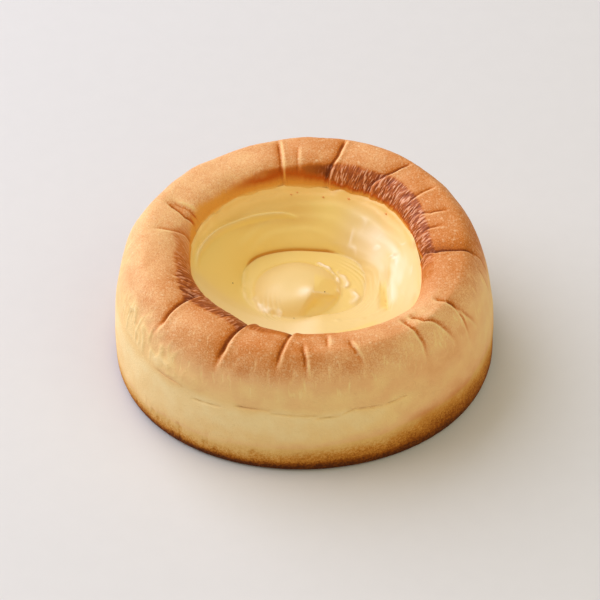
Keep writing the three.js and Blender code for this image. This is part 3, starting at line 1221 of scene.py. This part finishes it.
        # The folds brown their cuts and add painted shade and painted highlights.
        fold_shade_and_browning = sum(fold.shade(at) for fold in self.folds) * top
        marks = self.marks(at)
        seam = self.seam(at) * outside
        lumps = 0.35 * self.grain.at(grid, 11.0) + 0.16 * self.grain.at(grid, 5.0)
        smooth = np.where(outside, smoothstep(height, 1.0, 8.0), smoothstep(height, 30.0, 36.0))
        flaky = self.torn.cover(at) * outside
        torn = self.grain.lines(grid * (1.0, 1.0, 0.7) + 150.0, 2.4, 3.0, 1.5)
        pits = self.pitted.cover(at) * outside * smoothstep(self.grain.at(grid + 200.0, 1.5), 0.42, 0.7)
        bulge = self.bulge.cover(at) * outside
        relief += lumps * smooth
        relief += self.bulge_rise * bulge - self.mark_depth * marks - self.seam_depth * seam
        relief += self.tear_rise * flaky * torn - self.pit_depth * pits
        fade = np.where(outside, smoothstep(height, 0.2, 1.2), smoothstep(height, 25.0, 27.0))
        grid = grid + normal * (relief * fade)[..., None]
        grid[..., :2] += self.shift
        rough = self.grain.at(grid + 40.0, 9.0) + 0.6 * self.grain.at(grid + 80.0, 4.0)
        wrap = wound(self.wrap_radius, angle - 0.25 * length, 0.2 * length)
        jagged = self.grain.at(wrap, 0.7)
        left = smoothstep(np.abs(angle), 110.0, 135.0)
        ragged = (0.3 + 0.5 * left) * rough + (0.15 + 0.2 * left) * jagged
        ragged = ragged + 0.7 * left * self.grain.at(wrap + 60.0, 2.6)
        band = self.lip_band(replace(at, radius=radius + ragged))
        brown = round_the_bun(self.lip_brown, angle)
        bake_and_shade = self.bake_and_shade(at, grid, rough)
        browned_and_shaded = self.browned_and_shaded(at, rough)
        bake_and_shade = bake_and_shade + browned_and_shaded + 0.34 * fold_shade_and_browning - 0.2 * marks * smoothstep(bake_and_shade, 0.1, 0.4)
        bake_and_shade = bake_and_shade + 0.1 * seam + 0.1 * pits - flaky * (0.14 * torn + 0.05)
        bake_and_shade = bake_and_shade + band * brown * (0.2 + 0.06 * smoothstep(height, 31.0, 35.5))
        above = smoothstep(height - self.cream_rim - uneven(self.cream_lobes, angle), 0.2, 1.6)
        bare = 1.0 - band * smoothstep(brown, 0.1, 0.5)
        edge = rough + jagged * (0.3 + 0.5 * fall(np.abs(angle), 70.0, 95.0))
        meridian = angle + 4.0 * self.grain.at(grid + 260.0, 12.0)
        flare = smoothstep(radius, self.crest, self.crest + 3.0)
        masks = {
            Mask.BAKE: np.clip(bake_and_shade, 0.0, 1.0),
            Mask.CRINKLE: band * round_the_bun(self.lip_wrinkle, angle) * above,
            Mask.FOOT: smoothstep(browned_and_shaded, 0.02, 0.3),
            Mask.SKIN: smoothstep(height + rough, 27.0, 34.5) * bare,
            Mask.WRAP: wrap,
            Mask.MERIDIAN: wound(self.radius, meridian, 0.22 * length),
            Mask.STRETCH: smoothstep(height, 24.0, 28.0) * flare,
            Mask.FILM: self.film(at, edge),
        }
        self.made = MeshMaker.closed("bun", grid)
        MeshMaker.store(self.made, masks)

    def lip_band(self, at: Places) -> Array:
        """Marks the inner lip that browns most, from 0 to 1."""
        edge = round_the_bun(self.lip_edge, at.angle)
        return fall(at.radius, edge - 0.4, edge + 0.9) * smoothstep(at.height, 24.0, 26.0)

    def film(self, at: Places, rough: Array) -> Array:
        """Marks where a film of cream is left on the well's wall, above the cream.

        Args:
            at: The places.
            rough: Unevenness of its edge.

        Returns:
            Values from 0 to 1.
        """
        rim = self.cream_rim + uneven(self.cream_lobes, at.angle) - 0.4
        deep = round_the_bun(self.film_height, at.angle) * (1.0 + 0.25 * rough)
        share = np.clip(1.0 - (at.height - rim - 0.3) / (deep + 0.3), 0.0, 1.0)
        return share * (at.radius < self.lip_reach)

    def bake_and_shade(self, at: Places, grid: Array, rough: Array) -> Array:
        """Works out how far each place is baked, apart from its folds and lip, with painted shade added
        low on the side, most towards the front right.

        Args:
            at: The places.
            grid: Their points.
            rough: Unevenness of the edges between tones.

        Returns:
            Values from 0, pale, to 1, dark brown.
        """
        angle, radius, height = at.angle, at.radius, at.height
        outside = radius > self.crest
        foot = round_the_bun(self.gold_foot, angle) + 1.6 * rough
        gold = np.where(outside, smoothstep(height, foot - 5.5, foot + 4.2), 1.0)
        right = between(angle, (-68.0, -46.0), (20.0, 60.0))
        side = 0.09 + 0.15 * np.maximum(right, smoothstep(height + 1.2 * rough, 18.5, 23.0))
        shade = 0.1 + 0.1 * self.shaded.share(angle)
        side = side + shade * fall(height + 1.5 * rough, 6.0, 19.0)
        bake_and_shade = side + (round_the_bun(self.gold_depth, angle) - side) * gold
        flank = between(height, (22.0, 27.0), (28.0, 37.8))
        bake_and_shade = bake_and_shade - 0.2 * gold * self.flank.share(angle) * outside * flank
        under = between(height, (6.0, 14.0), (24.0, 33.0))
        bake_and_shade = bake_and_shade + 0.08 * self.under.share(angle) * outside * under
        rim = self.right_rim.share(angle)
        bake_and_shade = bake_and_shade + 0.03 * rim * fall(radius, 42.0, 45.5) * (height > 30.0)
        flare = outside * smoothstep(radius, self.crest, 49.0) * smoothstep(height, 24.0, 33.0)
        bake_and_shade = bake_and_shade - 0.06 * rim * flare
        blush = self.blush.share(angle) * fall(radius, self.lip_reach, 45.0)
        bake_and_shade = bake_and_shade + 0.09 * blush * (height > 30.0)
        bake_and_shade = bake_and_shade + 0.04 * gold * self.grain.at(grid + 120.0, 14.0)
        return np.where((height < 0.1) & (radius < self.base), 0.75, bake_and_shade)

    def browned_and_shaded(self, at: Places, rough: Array) -> Array:
        """Works out how much more the foot of the side is baked, with a painted contact shadow along its
        bottom edge, darkest at the front.

        Args:
            at: The places.
            rough: Unevenness of the edges between tones.

        Returns:
            What it adds to the bake.
        """
        foot = (at.radius > self.base - 0.5) & (at.radius > self.crest)
        top = round_the_bun(self.brown_top, at.angle) + 1.2 * rough
        share = fall(at.height, 0.1 * top, 1.2 * top)
        # Painted contact shadow along the bottom edge, darkest at the front.
        edge = fall(at.height, 0.2, 4.5)
        front = 0.57 - 0.43 * smoothstep(np.abs(turn(-95.0, at.angle)), 20.0, 70.0)
        return (0.47 * share + front * edge) * foot

    def dress(self, finish: CrustFinish) -> None:
        """Adds the fine relief and the crust finish, then gives the piece to the frame.

        Args:
            finish: The crust finish.
        """
        values = {
            "Wrinkle Height": self.wrinkle_height * MM,
            "Wrinkle Pitch": finish.wrinkle,
            "Blister Height": self.blister_height * MM,
            "Blister Size": self.blister_size,
            "Material": finish.build(),
        }
        self.made.data = Relief.apply(self.made, Relief.crust(), values, "bun")
        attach(self.made, "root")
        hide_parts("bun")


@dataclass(frozen=True)
class Ridge:
    """A soft ridge in the cream along a path of places."""

    path: Stations
    height: float
    width: float

    def rise(self, x: Array, y: Array) -> Array:
        """Gives the height that it adds, by the distance from the nearest point of its path.

        Args:
            x: Places across.
            y: Places along.

        Returns:
            The heights in millimetres.
        """
        away = np.full(x.shape, 1e9)
        for (ax, ay), (bx, by) in itertools.pairwise(self.path):
            run, climb = bx - ax, by - ay
            share = np.clip(((x - ax) * run + (y - ay) * climb) / (run**2 + climb**2), 0.0, 1.0)
            away = np.minimum(away, np.hypot(x - ax - share * run, y - ay - share * climb))
        return self.height * bell(away, 0.0, self.width)


@dataclass
class CustardFill:
    """The cream in the well: a scooped bowl with a dollop in it."""

    rim: float = CREAM_RIM
    floor: float = 16.5
    radius: float = 31.0
    well_waist: float = 24.5
    well_foot: float = 23.7
    well_floor: float = 9.3
    gap: float = 0.3
    brim_over: float = 0.7
    columns: int = 560
    wall_rows: int = 66
    floor_rows: int = 56
    dent_depth: float = 2.4
    knife_rise: float = 0.9
    bead_rise: float = 0.8
    shift: Station = (0.0, 0.0)
    rim_lobes: tuple[Lobe, ...] = CREAM_LOBES
    bowl_middle: Station = (-0.3, 5.5)
    bowl_size: Station = (17.2, 13.5)
    bowl_power: float = 2.6
    bowl_spread: float = 1.9
    bowl_curves: Triple = (1.3, 0.65, 0.8)
    mouth: tuple[Bay, ...] = MOUTH
    dollop_middle: Station = (-2.4, 2.8)
    dollop_size: Station = (12.2, 11.4)
    dollop_tip: Station = (0.0, -2.6)
    dollop_height: float = 4.9
    dollop_power: float = 2.6
    peak: float = 1.0
    peak_at: Station = (1.5, -3.1)
    crest_at: Station = (2.4, -3.5)
    crest_lean: float = 0.45
    scoop_drop: float = 0.5
    bubble_at: Station = (24.6, 6.4)
    knife: tuple[Station, Station] = ((171.0, 29.2), (94.0, 24.4))
    painted_highlight_ridges: int = 4
    ridges: tuple[Ridge, ...] = (
        Ridge(((4.0, 13.5), (6.6, 11.6), (8.8, 8.2), (9.7, 4.3), (9.4, 1.7)), 0.7, 0.6),
        Ridge(((9.9, 10.2), (11.6, 6.5), (11.2, 4.4)), 0.45, 0.6),
        Ridge(((13.3, 2.6), (14.1, 0.2), (13.2, -1.8)), 0.55, 0.8),
        Ridge(((-13.8, -1.0), (-12.6, -3.6), (-10.4, -6.0), (-6.8, -7.9)), 0.5, 0.7),
        Ridge(((8.4, -17.4), (12.0, -17.8), (16.0, -17.3), (20.0, -15.5), (22.0, -12.3)), 0.4, 0.7),
        Ridge(((-16.9, 11.0), (-17.2, 6.0), (-16.4, 0.5)), 0.5, 0.8),
    )
    painted_highlight_wall: Sector = Sector(20.0, 34.0)
    crumpled: Sector = Sector(30.0, 46.0)
    dragged: Sector = Sector(205.0, 26.0)
    grain: Grain = Grain(23)
    made: bpy.types.Object | None = None

    def beyond_floor(self, x: Array, y: Array) -> Array:
        """Measures places from the edge of the bowl's floor.

        Args:
            x: Places across.
            y: Places along.

        Returns:
            How far they are beyond it, as a share of the floor's reach.
        """
        across = np.abs((x - self.bowl_middle[0]) / self.bowl_size[0]) ** self.bowl_power
        along = np.abs((y - self.bowl_middle[1]) / self.bowl_size[1]) ** self.bowl_power
        return (across + along) ** (1.0 / self.bowl_power) - 1.0

    def floor_edge(self, angle: Array) -> Array:
        """Finds the radius at which the bowl's floor ends, by halving.

        Args:
            angle: The angles to find it at.

        Returns:
            The radii.
        """
        turned = np.radians(angle)
        inside = np.zeros_like(angle)
        outside = np.full_like(angle, self.radius)
        for _ in range(24):
            middle = (inside + outside) / 2.0
            within = self.beyond_floor(middle * np.cos(turned), middle * np.sin(turned)) < 0.0
            inside = np.where(within, middle, inside)
            outside = np.where(within, outside, middle)
        return inside

    def dollop(self, at: Spots) -> tuple[Array, Array]:
        """Gives the dollop's height and how deep its front flank is scooped.

        Args:
            at: The places.

        Returns:
            Its height in millimetres, and the scoop from 0 to 1.
        """
        size = self.dollop_size
        tip = [(t - m) / s for t, m, s in zip(self.dollop_tip, self.dollop_middle, size)]
        away = ((at.x - self.dollop_tip[0]) / size[0], (at.y - self.dollop_tip[1]) / size[1])
        dot = tip[0] * away[0] + tip[1] * away[1]
        far = away[0] ** 2 + away[1] ** 2
        reach = np.sqrt(dot**2 + far * (1.0 - tip[0] ** 2 - tip[1] ** 2)) - dot
        share = np.where(reach > 1e-9, far / np.maximum(reach, 1e-9), 0.0)
        over = 1.0 - share**self.dollop_power
        dome = above_zero(over, 0.004)
        near = np.hypot(at.x - self.peak_at[0], 0.8 * (at.y - self.peak_at[1]))
        ahead = self.crest_at[1] - at.y
        beside = at.x - self.crest_at[0]
        past = ahead + self.crest_lean * np.maximum(beside, 0.0)
        scoop = 0.45 * smoothstep(past, -0.1, 0.35) + 0.55 * smoothstep(past, 0.0, 2.6)
        scoop = scoop * smoothstep(beside + 0.95 * ahead, -0.4, 2.0)
        high = self.dollop_height * dome + self.peak * bell(near, 0.0, 2.4, 1.6)
        facet = self.dollop_height + self.peak - 0.25 - 0.68 * beside - 0.02 * np.abs(ahead)
        above = high - np.maximum(facet, 0.4)
        high = high - above_zero(above, 0.008) * smoothstep(high, 0.4, 1.2)
        notch = smoothstep(beside, 0.0, 0.35) * fall(-ahead, 1.5, 5.0)
        body = np.clip(over, 0.0, 1.0)
        high = high - 0.12 * notch * np.exp(-np.maximum(beside, 0.0) / 4.0) * body
        return high * (1.0 - self.scoop_drop * scoop), scoop * body

    def pale(self, at: Spots) -> Array:
        """Marks painted highlights on the cream: its tip, crisp edges, the knife's bead, the wet ridge
        crests, the near front and the smears and whitish zone on the right wall.

        Args:
            at: The places.

        Returns:
            Values from 0 up.
        """
        x, y = at.x, at.y
        tip = bell(np.hypot((x - 0.2) / 2.4, (y + 2.9) / 2.2), 0.0, 1.0) * fall(x, 2.3, 2.6)
        tip = tip * (1.0 - smoothstep(self.crest_at[1] - y, 0.0, 0.4) * smoothstep(x, 1.0, 2.4))
        ledge = self.crest_at[1] + self.crest_lean * np.maximum(x - self.crest_at[0], 0.0)
        crisp = bell(y, ledge + 0.35, 0.4) * between(x, (1.6, 2.4), (5.0, 7.5))
        edge = bell(y, -5.5, 7.0, 4) * between(x, (22.4, 23.0), (23.4, 26.5))
        wall = self.painted_highlight_wall.share(at.angle) * bell(at.radius, 24.5, 3.6, 4)
        spread = flat(0.12 * at.angle + 0.0 * x, at.radius)
        streaky = 1.0 + 0.9 * self.grain.at(spread + 640.0, 1.5)
        smeared = 0.5 * wall * streaky + 1.1 * self.smears(at)
        crests = sum(self.wet(ridge, at) for ridge in self.ridges[: self.painted_highlight_ridges])
        near = 0.4 * smoothstep(-y - 0.3 * x, 8.0, 15.0) * fall(x, 0.0, 8.0)
        bead = self.knife_edge(at)[1]
        # Each of these is a painted highlight.
        marks = (0.6 * tip, 0.7 * crisp, 0.7 * edge, smeared, 0.6 * bead, 2.2 * crests, near)
        return np.maximum.reduce(marks)

    def knife_edge(self, at: Spots) -> tuple[Array, Array]:
        """Gives the step that a knife left on the back wall, fading at its ends.

        Args:
            at: The places.

        Returns:
            The height that it adds, in millimetres, and from 0 to 1 the bead along it.
        """
        (first, start), (last, end) = self.knife
        share = turn(first, at.angle) / turn(first, last)
        line = start + (end - start) * np.clip(share, 0.0, 1.0)
        ends = between(share, (-0.15, 0.1), (0.85, 1.02))
        bead = ends * bell(at.radius, line + 0.2, 0.4)
        groove = 0.35 * bell(at.radius, line + 1.0, 0.4) * fall(share, 0.35, 0.6)
        step = self.knife_rise * smoothstep(at.radius, line - 0.4, line + 0.2)
        step = step * np.exp(-np.maximum(at.radius - line, 0.0) / 2.2)
        return self.bead_rise * bead + ends * (step - groove), bead

    @staticmethod
    def dent(at: Spots) -> Array:
        """Marks the dent in the right wall, deepest at its steep outer edge, from 0 to 1."""
        return bell(at.y, -5.2, 8.4, 4) * between(at.x, (19.0, 22.4), (22.7, 23.3))

    @staticmethod
    def crests(turns: Array) -> Array:
        """Gives a wave with sharp crests and round troughs, one for each whole turn."""
        return 0.64 - np.abs(np.sin(math.pi * turns))

    def streaks(self, at: Spots) -> Array:
        """Gives the fine ridges that spreading left, and the dent and bubble on the right wall.

        Args:
            at: The places.

        Returns:
            The height that they add, in millimetres.
        """
        x, y, radius = at.x, at.y, at.radius
        wander = self.grain.at(at.points(), 9.0)
        right = between(at.angle, (-62.0, -38.0), (42.0, 66.0))
        inner = bell(radius, 18.8, 2.1) * self.crests((radius + 0.5 * wander) / 1.15)
        outer = bell(radius, 27.0, 2.6) * self.crests((radius + 0.9 * wander) / 2.1)
        rise = right * (0.34 * inner + 0.09 * outer) - self.dent_depth * self.dent(at)
        rise = rise + sum(self.wet(ridge, at) for ridge in self.ridges)
        bubble = np.hypot(x - self.bubble_at[0], y - self.bubble_at[1])
        rise = rise - 0.5 * bell(bubble, 0.0, 0.7, 4) + 0.12 * bell(bubble, 1.2, 0.5)
        tip = Spots.of(x - self.dollop_tip[0], y - self.dollop_tip[1])
        drag = self.dragged.share(tip.angle) * bell(tip.radius, 10.0, 3.0, 4)
        rise = rise + 0.3 * drag * self.crests((tip.radius + 0.6 * wander) / 1.2)
        back = smoothstep(y, 12.0, 20.0) * smoothstep(radius, 20.0, 23.0)
        rise = rise + 0.1 * back * np.sin(2.0 * math.pi * (radius + 1.2 * wander) / 2.6)
        return rise + 0.34 * self.smears(at)

    def wet(self, ridge: Ridge, at: Spots) -> Array:
        """Gives the height that a wet, uneven ridge adds.

        Args:
            ridge: The ridge.
            at: The places.

        Returns:
            The heights in millimetres.
        """
        places = at.points()
        warp = [0.6 * self.grain.at(places + offset, 2.4) for offset in (300.0, 400.0)]
        share = 0.7 + 0.6 * self.grain.at(places + 500.0, 1.7)
        return share * ridge.rise(at.x + warp[0], at.y + warp[1])

    def smears(self, at: Spots) -> Array:
        """Marks the thin crumpled smears on the right wall.

        Args:
            at: The places.

        Returns:
            Values from 0 to 1.
        """
        places = at.points()
        wander = self.grain.at(places, 9.0)
        crumpled = self.crumpled.share(at.angle) * bell(at.radius, 25.5, 4.2, 4)
        bent = flat(0.24 * at.angle + 1.2 * wander, at.radius + 1.5 * wander)
        lines = self.grain.lines(bent + 60.0, 2.6, 3.2, 2)
        return crumpled * lines * smoothstep(self.grain.at(places + 610.0, 4.0), -0.2, 0.5)

    def top(self, at: Spots) -> Array:
        """Gives the height of the cream's surface.

        Args:
            at: The places.

        Returns:
            The heights in millimetres.
        """
        beyond = np.maximum(0.0, self.beyond_floor(at.x, at.y))
        brim = self.radius + uneven(self.mouth, at.angle)
        short = np.maximum(0.0, 1.0 - at.radius / brim)
        climb = beyond / (beyond + self.bowl_spread * short)
        left, right, back = self.bowl_curves
        front = left + (right - left) * smoothstep(at.x, -6.0, 5.0)
        curve = front + (back - front) * smoothstep(at.y, -8.0, 12.0)
        rise = self.rim + uneven(self.rim_lobes, at.angle) - self.floor
        places = at.points()
        soft = 0.22 * self.grain.at(places + 20.0, 6.0) * smoothstep(at.radius, 0.5, 4.0)
        edge = 0.7 * self.grain.at(places + 700.0, 3.2) * smoothstep(at.radius, brim - 1.8, brim + 0.3)
        feather = 0.6 * (np.maximum(0.0, at.radius - brim + 0.7) / 1.4) ** 1.4
        high = self.floor + rise * climb**curve + self.dollop(at)[0] + soft + edge + feather
        return high + self.knife_edge(at)[0] + self.streaks(at)

    def build(self) -> None:
        """Builds the mesh: the hidden underside, then the scooped top."""
        angle = np.linspace(-180.0, 180.0, self.columns, endpoint=False)
        turned = np.radians(angle)
        edge = self.floor_edge(angle)
        waist = (self.radius - self.gap, self.well_waist)
        foot = (self.well_foot, self.well_floor)
        wall = quarter(waist, foot, 2.4, False, 5)[::-1]
        below = np.vstack(((0.0, self.well_floor), wall, waist))
        mouth = uneven(self.mouth, angle)
        reach = [r + mouth * min(1.0, r / self.well_foot) for r in below[:, 0]]
        brim = self.radius + mouth + self.brim_over
        reach.append(brim + 0.01)
        reach += [brim * (1.0 - s) + edge * s for s in np.linspace(0.0, 1.0, self.wall_rows)]
        reach += [edge * (1.0 - s) for s in np.linspace(0.0, 1.0, self.floor_rows)[1:]]
        radius = np.stack(reach)
        x, y = radius * np.cos(turned), radius * np.sin(turned)
        x[-1], y[-1] = 0.0, 0.0
        high = self.top(Spots.of(x, y))
        high[: len(below)] = below[:, 1:]
        grid = np.stack((x + self.shift[0], y + self.shift[1], high), axis=-1)
        at = Spots(x, y, radius, angle)
        self.made = MeshMaker.closed("custard", grid)
        masks = {Mask.FILM: self.film(at), Mask.PAINTED_SHADE_AND_HIGHLIGHT: self.painted_shade_and_highlight(at)}
        MeshMaker.store(self.made, masks)

    def film(self, at: Spots) -> Array:
        """Marks where the cream thins to a film at its edge.

        Args:
            at: The places.

        Returns:
            Values from 0 to 1.
        """
        places = at.points()
        patchy = 0.9 * self.grain.at(places + 33.0, 4.0) + 0.5 * self.grain.at(places + 70.0, 1.8)
        share = np.maximum(smoothstep(at.y, 0.0, 16.0), 0.5 * smoothstep(at.x, 8.0, 20.0))
        width = 0.6 + 1.9 * share
        brim = self.radius + uneven(self.mouth, at.angle)
        film = smoothstep(at.radius, brim - width * 1.6 + patchy * 0.6, brim + 0.3)
        return np.clip(film * (0.45 + 0.55 * share), 0.0, 1.0)

    def painted_shade_and_highlight(self, at: Spots) -> Array:
        """Marks painted shade on the cream above 0 and painted highlights below 0.

        Args:
            at: The places.

        Returns:
            Values from -1, the strongest painted highlight, to 1, the strongest painted shade.
        """
        x, y = at.x, at.y
        beyond = self.beyond_floor(x, y) * 16.0
        # Painted shade at the foot of the back wall, on the shaded walls, on a band by the front right
        # rim, on the floor round the dollop, on its facet and scoop and in the dent.
        foot = np.maximum(bell(beyond, 0.0, 0.5), 0.74 * np.exp(-beyond / 2.6) * (beyond > 0.0))
        foot = foot * smoothstep(y, 8.0, 15.0) * fall(x, 6.0, 14.0)
        wall = 0.48 * smoothstep(beyond, -3.0, 1.0) * fall(x - 0.4 * y, -6.0, 10.0)
        wall = wall * (0.3 + 0.7 * smoothstep(y, -9.0, 6.0))
        back = smoothstep(y, 13.0, 21.0) * smoothstep(beyond, 2.0, 7.0) * fall(x, -4.0, 12.0)
        wall = wall + 0.22 * back
        front = 0.3 * smoothstep(at.radius, 25.5, 27.0)
        front = front * fall(np.abs(turn(-60.0, at.angle)), 9.0, 18.0)
        high, scoop = self.dollop(at)
        ring = (0.36 + 0.18 * smoothstep(y, 5.0, 11.0)) * fall(beyond, -1.5, 0.5) * fall(high, 0.3, 1.3)
        facet = 0.36 * smoothstep(x, 2.2, 2.9) * smoothstep(high, 0.5, 1.5)
        facet = facet * between(y, (-3.4, -3.0), (3.0, 8.0))
        scooped = scoop * (0.9 - 0.4 * smoothstep(x, 2.0, 9.0))
        dented = 0.9 * self.dent(at) * fall(x, 22.1, 22.6)
        painted_shade_and_highlight = np.maximum.reduce((foot, wall, front, ring, facet, scooped, dented))
        return np.clip(np.clip(painted_shade_and_highlight, 0.0, 1.0) - self.pale(at), -1.0, 1.0)

    def dress(self, finish: CustardFinish) -> None:
        """Adds the finish and gives the piece to the frame.

        Args:
            finish: The cream's finish.
        """
        self.made.data.materials.append(finish.build())
        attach(self.made, "root")
        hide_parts("custard")


@dataclass
class Grains:
    """Small grains of one kind that lie on the cream."""

    name: str
    places: Stations
    radius: float
    seed: int
    made: bpy.types.Object | None = None

    def build(self, cream: CustardFill, finish: PlainFinish) -> None:
        """Puts the grains on the cream's top.

        Args:
            cream: The cream.
            finish: The grains' finish.
        """
        x, y = np.array(self.places).T
        points = np.column_stack((x + cream.shift[0], y + cream.shift[1], cream.top(Spots.of(x, y))))
        mesh = bpy.data.meshes.new(self.name)
        mesh.from_pydata((points * MM).tolist(), [], [])
        self.made = MeshMaker.link(self.name, mesh)
        values = {"Grain Radius": self.radius * MM, "Seed": self.seed, "Material": finish.build()}
        self.made.data = Relief.apply(self.made, Relief.grains(), values, self.name)

    def dress(self, slot: str) -> None:
        """Gives the piece to the frame."""
        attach(self.made, "root")


@dataclass(frozen=True)
class Lamp:
    """A square soft light, placed in metres."""

    name: str
    place: Triple
    size: float
    power: float
    tint: Triple
    aim: Triple = (0.0, 0.0, 0.02)

    def build(self) -> None:
        """Adds the light, facing the bun."""
        lamp = bpy.data.lights.new(self.name, "AREA")
        lamp.energy = self.power
        lamp.size = self.size
        lamp.color = self.tint
        made = bpy.data.objects.new(self.name, lamp)
        made.location = self.place
        facing = Vector(self.aim) - Vector(self.place)
        made.rotation_euler = facing.to_track_quat("-Z", "Y").to_euler()
        bpy.context.scene.collection.objects.link(made)


@dataclass
class Studio:
    """A pale floor, soft light and the camera."""

    target: Triple = (-1.25, 0.0, 15.15)
    distance: float = 690.0
    elevation: float = 43.9
    lens: float = 150.0
    sensor: float = 36.0
    floor_reach: float = 2.0
    floor_finish: PlainFinish = PlainFinish("pale_floor", (214, 212, 208))
    sky: Triple = (1.0, 0.97, 0.89)
    sky_strength: float = 0.43
    lamps: tuple[Lamp, ...] = (
        Lamp("key", (-0.84, 0.48, 0.8), 1.55, 20.4, (1.0, 1.0, 1.2)),
        Lamp("fill", (0.6, -0.9, 0.7), 1.2, 2.5, (1.0, 0.9, 0.48)),
        Lamp("side", (0.95, -0.25, 1.15), 0.9, 3.5, (1.0, 0.87, 0.52)),
    )

    def build(self) -> None:
        """Builds the floor, the lights and the camera."""
        self.build_floor()
        for lamp in self.lamps:
            lamp.build()
        self.build_world()
        self.build_camera()

    def build_floor(self) -> None:
        """Builds the floor that the bun stands on."""
        mesh = bpy.data.meshes.new("floor")
        signs = ((-1, -1), (1, -1), (1, 1), (-1, 1))
        corners = [(x * self.floor_reach, y * self.floor_reach, 0.0) for x, y in signs]
        mesh.from_pydata(corners, [], [(0, 1, 2, 3)])
        mesh.materials.append(self.floor_finish.build())
        floor = MeshMaker.link("floor", mesh)

    def build_world(self) -> None:
        """Builds the soft surrounding light."""
        world = bpy.data.worlds.new("soft_sky")
        world.use_nodes = True
        back = world.node_tree.nodes["Background"]
        back.inputs["Color"].default_value = (*self.sky, 1.0)
        back.inputs["Strength"].default_value = self.sky_strength
        bpy.context.scene.world = world

    def build_camera(self) -> None:
        """Builds the camera at the photograph's angle."""
        lens = bpy.data.cameras.new("camera")
        lens.lens = self.lens
        lens.sensor_width = self.sensor
        lens.clip_end = 20.0
        tilt = math.radians(self.elevation)
        x, y, z = (c * MM for c in self.target)
        far = self.distance * MM
        camera = bpy.data.objects.new("camera", lens)
        camera.location = (x, y - far * math.cos(tilt), z + far * math.sin(tilt))
        camera.rotation_euler = (math.radians(90.0) - tilt, 0.0, 0.0)
        bpy.context.scene.collection.objects.link(camera)
        bpy.context.scene.camera = camera
        bpy.context.scene.view_settings.view_transform = "Standard"


SPECKS = ((-19.9, 3.5), (-3.0, -8.5), (5.4, -1.3))
CRUMBS = ((-2.1, 30.2), (-3.8, 29.4), (5.3, 29.0), (12.3, 27.4), (22.6, 20.2))


def report(made: bpy.types.Object) -> None:
    """Reports a piece and its faces."""
    log.info("%s: %d faces", made.name, len(made.data.polygons))


def main() -> None:
    """Builds the bun, its cream, its specks and the studio."""
    logging.basicConfig(level=logging.INFO, format="%(message)s")
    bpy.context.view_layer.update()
    low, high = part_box("custard")
    axis = ((low[0] + high[0]) / 2 / MM, (low[1] + high[1]) / 2 / MM)
    bun = BriocheBun(shift=axis)
    cream = CustardFill(shift=axis)
    for piece, finish in ((bun, CrustFinish()), (cream, CustardFinish())):
        piece.build()
        piece.dress(finish)
        report(piece.made)
    specks = Grains("vanilla_specks", SPECKS, radius=0.2, seed=4)
    crumbs = Grains("crust_crumbs", CRUMBS, radius=0.34, seed=7)
    kinds = (
        (specks, PlainFinish("vanilla_seed", (74, 52, 30)), "custard"),
        (crumbs, PlainFinish("browned_crumb", (232, 160, 84)), "crust"),
    )
    for grains, finish, slot in kinds:
        grains.build(cream, finish)
        grains.dress(slot)
        report(grains.made)
    Studio().build()


if __name__ == "__main__":
    main()
